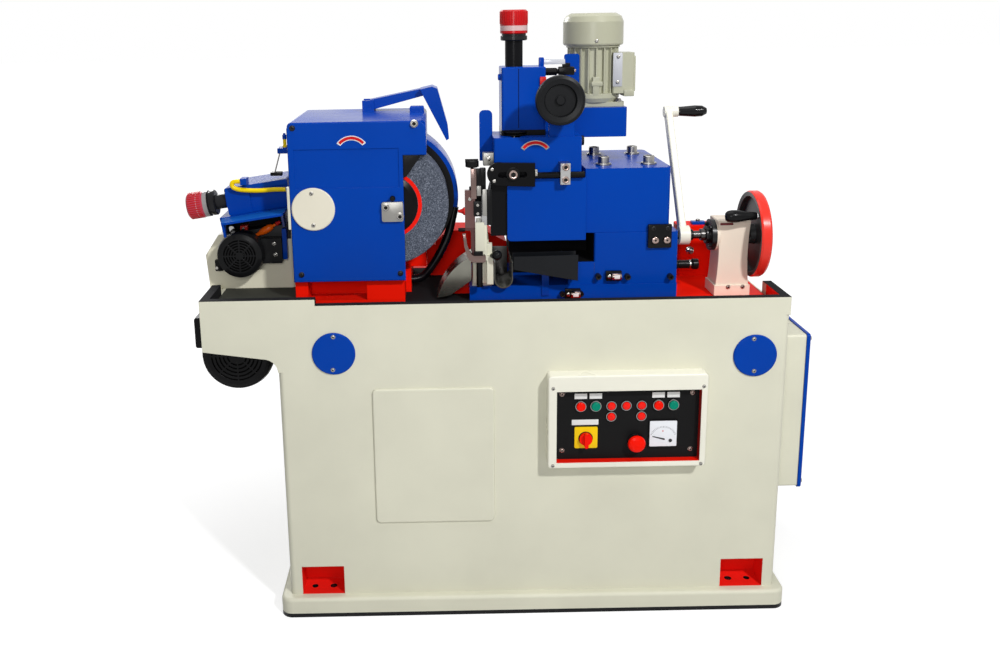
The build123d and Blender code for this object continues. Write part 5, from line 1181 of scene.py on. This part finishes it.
class GRINDER_OT_guard_fittings(bpy.types.Operator):
    """Fit the wheel guard's screws, latch, plates, black band for the shade behind the wheel and side bracket
    and the round covers' screws
    """

    bl_idname = "grinder.guard_fittings"
    bl_label = "Fit the wheel guard"

    def execute(self, context):
        corners = on_front(COVER_Y, ((-575, 1254), (-570, 888), (-323, 887)))
        screw = button_screw(context, 6.2)
        copies(context, "cover_screws", "machine", "black_paint", "black screw", screw, corners)
        discs = on_front(COVER_Y - 5, ((-535.5, 1094), (-534, 1014.5)))
        discs += on_front(BASE_Y - 5, ((-488, 753), (-492, 668.5), (540.5, 728), (544.5, 645)))
        copies(context, "disc_screws", "machine", "steel", BRIGHT, button_screw(context, 4.6), discs)
        bolt = [
            (0, 0), (9.5, 0), (9.5, 1.6), (8.2, 1.8), (8.2, 7.0), (7.0, 8.2), (4.6, 8.2),
            (4.2, 7.9, "socket"), (4.2, 4.0, "socket"), (0, 3.8),
        ]
        latch = Fitting(context)
        latch.turned(bolt, (-280, COVER_Y, 1260), FRONT, BRIGHT)
        latch.slab(rounded_outline(53, 49, 4.0), (-338, COVER_Y, 1045), FRONT, 8.0, "plate steel", 1.2)
        knob = [(0, 0), (4.5, 0), (4.5, 5), (6.6, 6.5), (7.0, 9), (6.6, 14), (5.2, 16), (0, 16.4)]
        latch.turned(knob, (-337, COVER_Y, 1079), FRONT, MOULDING, 24)
        for x, z in ((-354, 1057), (-320, 1034)):
            latch.turned(bolt, (x, COVER_Y - 8, z), FRONT, BRIGHT, 30)
        latch.make("guard_latch", "machine", "steel")

        plates = Fitting(context)
        arc_badge(plates, (-433.5, COVER_Y, 1189.5), 1.0, "label white", 0.3)
        # A black plate in the guard's corner, in front of the wheel: it stands in for the shade there
        shade_wedge = [(-312, 1183), (-264, 1183), (-302, 1129), (-312, 1124)]
        plates.slab(shade_wedge, (0, -219.8, 0), FRONT, 2.4, MOULDING, 0.4)
        plates.make("guard_plates", "machine", "black_plastic")
        # A black band behind the wheel's rim: it stands in for the shade inside the guard
        shade_band = Fitting(context)
        edge = arc_outline(151, 168, math.radians(54), math.radians(2), 36)
        shade_band.slab(edge, (WHEEL_AXIS[0], -93.6, WHEEL_AXIS[1]), FRONT, 2.2, MOULDING, 0.5)
        shade_band.make("guard_seal", "machine", "black_plastic")

        side = Fitting(context)
        side.block((-597, -233, 1003), (-590, -223, 1110), "cream fitting", 1.5)
        side.block((-634, -116, 1177), (-590, -84, 1192), BLUE, 2.0)
        side.turned(stub(6, 4, 4.4, 5, 17), (-616, -100, 1192), UP, "yellow tube", 20)
        side.turned(stub(5.4, 10, 3.2, 12, 3), (-616, -100, 1213), UP, BLUE, 20)
        side.rod((-629, -100, 1180), (-645, -100, 1128), 1.8, BRIGHT)
        side.block((-656, -110, 1119), (-626, -90, 1129), MOULDING, 2.0)
        side.make("guard_side_bracket", "machine", "blue_paint")
        return {"FINISHED"}


class GRINDER_OT_wheel_dresser(bpy.types.Operator):
    """Fit the wheel dresser's knob ribs, terminal screws, plug, knobs and shelf"""

    bl_idname = "grinder.wheel_dresser"
    bl_label = "Fit the wheel dresser"

    def execute(self, context):
        detail = context.scene.grinder_detail
        rib = block_template(context, (-1.0, -1.2, 36), (0.9, 1.2, 70), 0.4)
        ring_copies(
            context, "left_knob_ribs", "wheel_dresser_knob", "red_knob", "red fitting", rib, LEFT_KNOB,
            LEFT_KNOB_OUT, detail.knob_ribs, KNOB_R,
        )
        screws = on_front(-134, ((-652, 945), (-650, 916)))
        copies(context, "terminal_screws", "machine", "steel", BRIGHT, button_screw(context, 4.6), screws)
        bits = Fitting(context)
        connector = [
            (0, 0), (3.5, 0), (3.5, 7), (6.5, 11), (9.2, 17), (9.8, 30), (8.8, 40), (6.4, 47), (4.6, 51),
            (4.4, 60), (0, 60.5),
        ]
        bits.turned(connector, (-649, -113, 993), (-0.88, 0, -0.48), "orange moulding", 24)
        bits.turned(stub(5.5, 5, 4.2, 6, 6), (-647, -113, 994), (0.88, 0, 0.48), "red fitting", 20)
        knob = [(0, 0), (5, 0), (5, 16), (8.6, 18), (9.4, 22), (9.4, 34), (8.0, 37), (0, 38)]
        bits.turned(knob, (-768, -60, 979), FRONT, "chrome", 24)
        bits.block((-746, -92, 970), (-727, -60, 986), "red fitting", 2.0)
        bits.turned([(0, 0), (4, 0), (4, 6), (0, 6.4)], (-737, -92, 979), FRONT, BRIGHT, 16)
        bits.block((-631.4, -130, 903), (-620, -103.5, 984), BLUE, 1.5)
        bits.block((-812, -122, 872), (-792, -104, 902), MOULDING, 3.0)
        bits.turned(stub(4.2, 4, 3.4, 5), (-806, -122, 882), FRONT, BRIGHT, 20)
        bits.make("dresser_fittings", "machine", "black_plastic")

        shelf = Fitting(context)
        lean = Matrix.Translation((-690, 0, 1067)) @ Matrix.Rotation(-KNOB_LEAN, 4, "Y")
        rim = [(-86, -207), (72, -207), (72, -131), (-104, -131)]
        shelf.slab(rim, (0, 0, -44), UP, 4.6, BLUE, 1.0, turn=lean)
        # The shelf's top is a lighter blue than its edge: painted light on the top
        top = [(-84.5, -205.5), (70.5, -205.5), (70.5, -131), (-102, -131)]
        shelf.slab(top, (0, 0, -40), UP, 1.6, "shelf blue", 0.4, turn=lean)
        shelf.block((-86, -206, -76), (-80, -196, -43), BLUE, 1.2, lean)
        shelf.block((65, -206, -72), (71, -132, -43), "seam", 1.2, lean)
        shelf.make("saddle_shelf", "machine", "blue_paint")
        return {"FINISHED"}


class GRINDER_OT_regulating_head(bpy.types.Operator):
    """Fit the small parts of the regulating head, its arm, its dresser and its motor"""

    bl_idname = "grinder.regulating_head"
    bl_label = "Fit the regulating head"

    def execute(self, context):
        self.fit_screws(context)
        self.fit_arm(context)
        self.fit_dresser_base(context)
        self.fit_upper_dresser(context)
        self.fit_motor(context)
        return {"FINISHED"}

    def fit_screws(self, context):
        """The housing's and the clamp's screws and the ribs of the upper knob."""
        washer_screw = [
            (0, 0), (20, 0), (20, 4), (19.2, 4.8), (14, 4.8), (14, 20.5), (12.6, 22), (8.6, 22),
            (7.4, 21.6, "socket"), (7.4, 11, "socket"), (0, 10.6),
        ]
        tops = [(x, y, 1138, UP) for x, y in ((200, 40), (303, 40), (194, -150), (308, -150))]
        screw = template_of(context, washer_screw)
        copies(context, "housing_screws", "top_slide", "steel", BRIGHT, screw, tops)
        rib = block_template(context, (-1.0, -1.2, 40), (0.9, 1.2, 70), 0.4)
        ring_copies(
            context, "upper_knob_ribs", "regulating_dresser_knob", "red_knob", "label red", rib, TOP_KNOB, UP,
            context.scene.grinder_detail.knob_ribs, KNOB_R,
        )
        clamps = on_front(-251, ((85, 1149), (85, 1118)))
        screw = cap_screw(context, 8.5, 6.0)
        copies(context, "clamp_screws", "top_slide", "steel", WARM, screw, clamps)

    def fit_arm(self, context):
        """The slotted arm's clamp screw, collar and small screws."""
        arm = Fitting(context)
        arm.turned(stub(17, 2.5, 15.6, 4), (-42, ARM_Y, 1133), FRONT, MOULDING)
        head = [
            (0, 0), (11.5, 0), (11.5, 6), (10.2, 8), (6.4, 8), (5.6, 7.6, "socket"), (5.6, 3.5, "socket"),
            (0, 3.2),
        ]
        arm.turned(head, (-42, ARM_Y - 4, 1133), FRONT, WARM)
        arm.make("arm_clamp_screw", "top_slide", "steel")
        travel = Fitting(context)
        travel.turned(stub(10.6, 5, 9.6, 6, bore=8.1), (12, -237, 1134), RIGHT, BRIGHT)
        for x, z in ((-93, 1146), (-88, 1117)):
            travel.turned(stub(4, 1.4, 2.6, 2.2), (x, ARM_Y, z), FRONT, BRIGHT, 18)
        travel.make("arm_collar", "arm", "steel")

    def fit_dresser_base(self, context):
        """The badge with its rivets, the knob and the block on the dresser's base."""
        front = Fitting(context)
        x, y, z = badge = (15, -212, 1167)
        arc_badge(front, badge, 1.2, "plate steel", 0.4)
        rivet = [(0, 0), (1.5, 0), (1.2, 0.8), (0, 0.9)]
        turn = BADGE_HALF - 0.045
        for side in (-1, 1):
            place = (x + side * 38.5 * math.sin(turn), y - 1.1, z + 38.5 * math.cos(turn))
            front.turned(rivet, place, FRONT, BRIGHT, 12)
        knob = [(0, 0), (8, 0), (8, 4), (12, 5), (12.5, 8), (12, 13), (0, 14)]
        front.turned(knob, (130, -150, 1201), RIGHT, MOULDING)
        front.block((-113, -211, 1150), (-87, -186, 1182), "plate steel", 2.0)
        front.turned(stub(6, 4, 4.5, 5), (-100, -211, 1168), FRONT, BRIGHT, 20)
        front.make("dresser_base_fittings", "top_slide", "steel")

    def fit_upper_dresser(self, context):
        """The switch, the marker blocks, the bolt and the washers of the upper dresser."""
        switch = Fitting(context)
        switch.block((33, -121, 1381), (46, -103, 1407), BLUE, 3.0)
        barrel = [(0, 0), (7.5, 0), (7.5, 6), (9.5, 7), (9.5, 34), (8, 36), (6, 37), (6, 42), (0, 42)]
        switch.turned(barrel, (43, -112, 1371), RIGHT, MOULDING)
        switch.block((82, -124, 1362), (122, -100, 1383), MOULDING, 3.0)
        switch.turned([(0, 0), (4.2, 0), (4.2, 4), (0, 4.4)], (122, -112, 1372), RIGHT, WARM, 18)
        switch.block((92, -117, 1381), (112, -107, 1392), MOULDING, 2.0)
        switch.block((45, -118, 1389), (99, -106, 1402), "clear strip", 2.0)
        switch.block((30, -176, 1340), (45.5, -168, 1362), "red fitting", 1.5)
        switch.block((30, -176, 1328), (45.5, -168, 1341), "label white", 1.5)
        switch.turned(HEX_BOLT, (-64, -150, 1362), LEFT, BLUE, 24)
        washer = [(20, -3), (33, -3), (36, -1), (36, 1), (33, 3), (20, 3)]
        for z in (1221, 1227):
            switch.turned(washer, (-31, -150, z), UP, MOULDING)
        switch.make("upper_dresser_fittings", "regulating_dresser", "black_plastic")

    def fit_motor(self, context):
        """The drive motor's plate, studs, terminal blocks and bolts."""
        motor, paint = Fitting(context), "motor fitting"
        motor.slab(rounded_outline(24, 86, 2.0), (245, -40, 1369), FRONT, 2.2, "dull plate", 0.6)
        stud = [(0, 0), (4.6, 0), (4.6, 1.6), (3.6, 2.6), (1.4, 3), (0, 3)]
        for x, y, z in ((246, -42.2, 1402), (245, -42.2, 1337), (187, -56.2, 1443)):
            motor.turned(stud, (x, y, z), FRONT, BRIGHT, 20)
        motor.block((262, -44, 1300), (289, 40, 1318), paint, 3.0)
        motor.block((284, -36, 1312), (293, 32, 1404), paint, 3.0)
        motor.block((180, -48, 1300), (198, -34, 1352), paint, 3.0)
        motor.block((176, -50, 1328), (206, -38, 1340), paint, 3.0)
        for x in (128, 250):
            motor.turned(HEX_BOLT, (x, -28, 1286), UP, BRIGHT, 24)
        motor.make("drive_motor_fittings", "top_slide", "motor_paint")


class GRINDER_OT_slide_fittings(bpy.types.Operator):
    """Fit the gib screws, the stop plate, the lubricators and the lock pin of the slides"""

    bl_idname = "grinder.slide_fittings"
    bl_label = "Fit the slides"

    def execute(self, context):
        for name, body, head, y, spots in (
            ("upper_gib_screws", "top_slide", (7.6, 17), UPPER_SLIDE_Y, ((174, 865), (248, 863), (356, 861))),
            ("lower_gib_screws", "bottom_slide", (7.0, 14), LOWER_SLIDE_Y, ((84, 821), (131, 821))),
        ):
            screw = cap_screw(context, *head)
            copies(context, name, body, "black_paint", "black screw", screw, on_front(y, spots))
        stop, stop_y = Fitting(context), -222
        stop.block((297, stop_y, 936), (356, -209, 996), MOULDING, 2.5)
        knob = [(0, 0), (9.4, 0), (9.4, 4), (8.2, 6.4), (6, 7.4), (2.6, 7.6), (2.2, 6, "socket"), (0, 6)]
        for x in (314, 343):
            stop.turned(knob, (x, stop_y, 957), FRONT, WARM)
        screw = [(0, 0), (5.8, 0), (5.8, 1.2), (4.6, 2), (3.2, 2), (2.6, 0.6, "socket"), (0, 0.6)]
        for x in (309, 345):
            stop.turned(screw, (x, stop_y, 986), FRONT, "black screw", 20)
        stop.block((164.3, UPPER_SLIDE_Y - 0.4, 845), (165.3, UPPER_SLIDE_Y + 0.2, 899), "seam", 0.2)
        stop.make("stop_plate", "top_slide", "black_plastic")
        barrel = [(0, 0), (8.2, 0), (9.2, 1.5), (9.2, 22.5), (8.2, 24), (0, 24)]
        for name, body, x, y, z in (
            ("upper_lubricator", "top_slide", 213, UPPER_SLIDE_Y, 866),
            ("lower_lubricator", "bottom_slide", 110, LOWER_SLIDE_Y, 822),
        ):
            oiler = Fitting(context)
            oiler.block((x - 20, y - 12, z - 13), (x + 20, y, z + 13), MOULDING, 2.5)
            oiler.turned(barrel, (x - 6, y - 14, z), RIGHT, WARM, 28)
            # A white strip on the barrel's front: a painted highlight on the sight glass
            oiler.block((x - 1, y - 24.4, z - 4), (x + 13, y - 21, z + 5), "label white", 1.0)
            oiler.turned(stub(5, 5, 3.4, 6), (x - 12, y - 12, z), FRONT, BRIGHT, 20)
            oiler.make(name, body, "red_knob")
        pin = Fitting(context)
        grip = [
            (0, 0), (13, 0), (13.5, 3), (13.5, 14), (12, 16), (11, 17), (11, 52), (12.5, 53), (14, 55),
            (14, 67), (12.5, 69), (0, 70),
        ]
        pin.turned(grip, (374, -150, 875), RIGHT, MOULDING)
        pin.turned([(11.2, 0), (11.9, 0), (11.9, 3), (11.2, 3)], (420, -150, 875), RIGHT, BRIGHT)
        pin.make("lock_pin", "top_slide", "black_plastic")
        return {"FINISHED"}


class GRINDER_OT_feed_fittings(bpy.types.Operator):
    """Fit the feed pedestal's screws and slot, the shaft's collar, the handle's sleeve and the rear bolt"""

    bl_idname = "grinder.feed_fittings"
    bl_label = "Fit the feed end"

    def execute(self, context):
        detail = context.scene.grinder_detail
        foot = on_front(-212, ((505, 829), (542, 829)))
        copies(context, "pedestal_screws", "machine", "steel", WARM, button_screw(context, 4.8), foot)
        ring_copies(
            context, "flange_screws", "machine", "black_paint", "black screw", cap_screw(context, 5.0, 4.5),
            (462, *FEED_AXIS), LEFT, detail.flange_screws, 32.0, math.radians(45),
        )
        slot = Fitting(context)
        slot.slab(rounded_outline(33, 6, 2.6), (496, -207, 991), FRONT, 0.8, "slot dark red", 0.3)
        slot.make("pedestal_slot", "machine", "red_paint")
        collar = Fitting(context)
        collar.turned(stub(15, 7, 13.5, 9, bore=10.3), (411.5, *FEED_AXIS), RIGHT, MOULDING)
        collar.make("feed_collar", "feed_shaft", "black_plastic")
        sleeve = Fitting(context)
        swell = [
            (0, 0), (8, 0), (9.6, 3), (11, 20), (13.4, 36), (15.6, 50), (15.8, 62), (14, 71), (10, 76),
            (0, 78),
        ]
        sleeve.turned(swell, (561, -232.9, 1015.7), LEFT, MOULDING)
        sleeve.make("handle_sleeve", "wheel_handle", "black_plastic")
        rear = Fitting(context)
        bolt = [
            (0, 0), (11, 0), (11, 2.5), (9, 3, "hex"), (9, 10, "hex"), (6.5, 11), (6.5, 20), (5, 22), (0, 22)
        ]
        rear.turned(bolt, (457, -10, 878), FRONT, "chrome")
        rear.block((466, 4, 945), (503, 30, 953), BLUE, 2.0)
        rear.turned(stub(6, 5, 4.6, 6), (484, 17, 953), UP, BRIGHT, 20)
        rear.make("rear_block_fittings", "machine", "steel")
        return {"FINISHED"}


class GRINDER_OT_work_rest(bpy.types.Operator):
    """Fit the work rest's knobs, rod, hook, plates, nozzles, clamps and screws"""

    bl_idname = "grinder.work_rest"
    bl_label = "Fit the work rest"

    def execute(self, context):
        rest = Fitting(context)
        self.fit_hook(rest)
        self.fit_plates(rest)
        self.fit_clamps(rest)
        rest.make("work_rest_fittings", "bottom_slide", "steel")
        grip = Fitting(context)
        knob = [(0, 0), (13, 0), (16.5, 2), (16.5, 15), (14, 17.5), (0, 18)]
        grip.turned(knob, (-141, -229, 1150), UP, MOULDING, 28)
        grip.make("rest_clamp_knob", "rest_clamp", "black_plastic")
        return {"FINISHED"}

    def fit_hook(self, rest):
        """The ball knob, the upright rod and the hook before the left guide."""
        turns = [math.pi * i / 12 for i in range(3, 12)]
        ball = [(0, 0), (5, 0), *((13 * math.sin(a), 18 - 13 * math.cos(a)) for a in turns), (0, 31)]
        rest.turned(ball, (-96, -236, 928), (0.72, -0.62, 0.2), MOULDING, 28)
        rest.turned(stub(8, 64, 6.5, 66), (-125.5, -239, 850), UP, MOULDING, 24)
        outer = [
            (-167, 986), (-163, 955), (-157, 930), (-150, 919), (-142, 914), (-112, 914), (-110, 918),
            (-110, 930),
        ]
        inner = [(-113, 933), (-120, 930), (-140, 930), (-147, 935), (-152, 945), (-156, 960), (-159, 986)]
        rest.slab(outer + inner, (0, -236.2, 0), FRONT, 13, "hook steel", 1.4)

    def fit_plates(self, rest):
        """The strip, the dark sheet that stands in for shade behind the trough, the upper bar, the backing
        plate, the hook's block and the nozzles.
        """
        rest.block((-105.5, -229, 1004), (-92, -224, 1094), MOULDING, 1.0)
        # A dark sheet behind the trough's cup, put in for the shade above the cup
        rest.block((-90, -120.8, 844), (-48, -118, 925), "dark steel", 1.0)
        rest.block((-145, -246, 1074), (-131.5, -236.3, 1148), "hook steel", 1.2)
        rest.block((-137, -221.5, 1058), (-107, -218, 1146), MOULDING, 1.0)
        rest.block((-139, -246, 929), (-117, -237, 942), MOULDING, 2.0)
        nozzle =[(0, 0), (10, 0), (10, 3), (6.5, 6), (4.2, 12), (3.4, 17), (0, 17.4)]
        rest.turned(nozzle, (-160, -229, 1041), LEFT, "red fitting", 24)
        rest.turned(stub(5, 15, 3.8, 17), (-160, -229, 994), LEFT, MOULDING, 20)

    def fit_clamps(self, rest):
        """The blocks between the guides, their screws and the pale plate under them."""
        rest.block((-139, -247, 1030), (-118.5, -235.8, 1068), MOULDING, 2.0)
        rest.block((-117, -242, 1030), (-106, -235.8, 1097), "plate steel", 1.5)
        rest.block((-132, -238, 1104), (-120, -224, 1147), MOULDING, 1.5)
        rest.block((-122, -226, 1102), (-108, -214, 1147), MOULDING, 1.5)
        rest.block((-131, -238, 1080), (-120, -222, 1105), "plate steel", 1.5)
        for z in (1038, 1059):
            rest.turned([(0, 0), (3.4, 0), (3.4, 3), (0, 3.2)], (-129, -247, z), FRONT, BRIGHT, 16)
        for z in (940, 1072):
            rest.turned(stub(4.6, 4, 3.6, 5), (-148, -236, z), FRONT, BRIGHT, 18)
        rest.block((-135.5, -243, 941), (-113, -235.6, 1014), "cream fitting", 1.5)


class GRINDER_OT_base_fittings(bpy.types.Operator):
    """Fit the screws of the cabinet cover and the belt guard and the studs of the feet"""

    bl_idname = "grinder.base_fittings"
    bl_label = "Fit the base"

    def execute(self, context):
        cover = [(709, y, z, RIGHT) for y in (-238, -50, 138) for z in (307, 698)]
        copies(context, "cabinet_screws", "machine", "steel", BRIGHT, button_screw(context, 7.5), cover)
        stud = template_of(context, stub(8.5, 45, 7.5, 46), 20)
        rows = ((-568.7, 0.88), (-519.7, 1), (519.7, 1), (568.7, 0.88))
        feet = [(x, y, 4, UP, size) for x, size in rows for y in (-283, 283)]
        copies(context, "foot_studs", "machine", "black_paint", "black screw", stud, feet)
        rim = []
        for (x, z), radius, angles in (
            (MOTOR_AXIS, 73, (140, 200, 260, 320)),
            (WHEEL_AXIS, 63, (-40, 30, 100)),
        ):
            for a in map(math.radians, angles):
                rim.append((x + radius * math.cos(a), 188, z + radius * math.sin(a), BACK))
        copies(context, "belt_guard_screws", "machine", "steel", BRIGHT, button_screw(context, 5.0), rim)
        return {"FINISHED"}


class GRINDER_OT_studio(bpy.types.Operator):
    """Set the floor, the lights and the camera"""

    bl_idname = "grinder.studio"
    bl_label = "Set the studio"

    def execute(self, context):
        stage = context.scene.grinder_stage
        self.lay_floor(context, stage.floor_white)
        self.light(context, stage)
        self.set_camera(context, stage.lens)
        context.scene.view_settings.view_transform = "Standard"
        return {"FINISHED"}

    def lay_floor(self, context, white):
        mesh = bpy.data.meshes.new("floor")
        corners = ((-1, -1), (1, -1), (1, 1), (-1, 1))
        mesh.from_pydata([(x * FLOOR_REACH, y * FLOOR_REACH, 0) for x, y in corners], [], [(0, 1, 2, 3)])
        floor = bpy.data.objects.new("floor", mesh)
        context.collection.objects.link(floor)
        mesh.materials.append(self.floor_finish(white))

    def light(self, context, stage):
        """The white surround and the soft lights."""
        world = context.scene.world or bpy.data.worlds.new("surround")
        context.scene.world = world
        world.use_nodes = True
        tree = world.node_tree
        back = tree.nodes["Background"].inputs
        back["Color"].default_value = (1.0, 1.0, 1.0, 1.0)
        lit = math_node(tree, "MULTIPLY", self.seen(tree), 1.0 - stage.sky)
        tree.links.new(math_node(tree, "ADD", lit, stage.sky), back["Strength"])
        for name, place, size in LIGHTS:
            light = bpy.data.lights.new(name, "AREA")
            light.energy = getattr(stage, name)
            light.size = size
            lamp = bpy.data.objects.new(name, light)
            lamp.location = place
            lamp.rotation_euler = (Vector(LIGHT_AIM) - Vector(place)).to_track_quat("-Z", "Y").to_euler()
            context.collection.objects.link(lamp)

    def set_camera(self, context, lens):
        view = bpy.data.cameras.new("camera")
        view.lens = lens
        view.sensor_width = SENSOR_WIDTH
        view.shift_x, view.shift_y = CAMERA_SHIFT
        camera = bpy.data.objects.new("camera", view)
        turn = Matrix.Rotation(math.radians(90.0 - CAMERA_PITCH), 4, "X")
        roll = Matrix.Rotation(math.radians(-CAMERA_ROLL), 4, "Z")
        camera.matrix_world = Matrix.Translation(CAMERA_PLACE) @ turn @ roll
        context.collection.objects.link(camera)
        context.scene.camera = camera

    def seen(self, tree):
        """1 for what the camera sees, straight, in a gloss or through glass."""
        path = tree.nodes.new("ShaderNodeLightPath")
        glossy = math_node(tree, "MAXIMUM", path.outputs["Is Camera Ray"], path.outputs["Is Glossy Ray"])
        return math_node(tree, "MAXIMUM", glossy, path.outputs["Is Transmission Ray"])

    def floor_finish(self, white):
        """A pale floor that the camera sees whiter with the distance."""
        mat, tree, shader = new_material("pale floor")
        shader["Base Color"].default_value = (0.55, 0.55, 0.55, 1.0)
        shader["Roughness"].default_value = 0.8
        shader["Specular IOR Level"].default_value = 0.0
        shader["Emission Color"].default_value = (1.0, 1.0, 1.0, 1.0)
        place = tree.nodes.new("ShaderNodeNewGeometry").outputs["Position"]
        rise = math_node(tree, "MULTIPLY", vector_node(tree, "LENGTH", place), FLOOR_FADE)
        ramp = math_node(tree, "MAXIMUM", math_node(tree, "ADD", rise, white - FLOOR_FADE_START), white)
        strength = math_node(tree, "MULTIPLY", self.seen(tree), math_node(tree, "MINIMUM", ramp, 1.0))
        tree.links.new(strength, shader["Emission Strength"])
        return mat


class GRINDER_PT_panel(bpy.types.Panel):
    """Finishes, fittings and studio of the grinder"""

    bl_label = "Grinder"
    bl_idname = "GRINDER_PT_panel"
    bl_space_type = "VIEW_3D"
    bl_region_type = "UI"
    bl_category = "Grinder"

    def draw(self, context):
        for name, _ in SETTINGS:
            part = self.layout.box()
            settings = getattr(context.scene, name)
            for key in settings.__annotations__:
                part.prop(settings, key)
        for operator in STEPS:
            self.layout.operator(operator.bl_idname)


STEPS = (
    GRINDER_OT_studio, GRINDER_OT_paint, GRINDER_OT_hoses, GRINDER_OT_control_panel,
    GRINDER_OT_guard_fittings, GRINDER_OT_wheel_dresser, GRINDER_OT_regulating_head,
    GRINDER_OT_slide_fittings, GRINDER_OT_feed_fittings, GRINDER_OT_work_rest, GRINDER_OT_base_fittings,
)
SETTINGS = (
    ("grinder_paint", GrinderPaint), ("grinder_detail", GrinderDetail), ("grinder_stage", GrinderStage)
)


def register():
    for _, group in SETTINGS:
        bpy.utils.register_class(group)
    for cls in STEPS + (GRINDER_PT_panel,):
        bpy.utils.register_class(cls)
    for name, group in SETTINGS:
        setattr(bpy.types.Scene, name, bpy.props.PointerProperty(type=group))


def unregister():
    for name, _ in SETTINGS:
        delattr(bpy.types.Scene, name)
    for cls in (GRINDER_PT_panel,) + STEPS[::-1]:
        bpy.utils.unregister_class(cls)
    for _, group in SETTINGS:
        bpy.utils.unregister_class(group)


def main():
    """Registers the add-on and runs its steps in order."""
    register()
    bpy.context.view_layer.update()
    for step in STEPS:
        family, name = step.bl_idname.split(".")
        getattr(getattr(bpy.ops, family), name)()


if __name__ == "__main__":
    main()
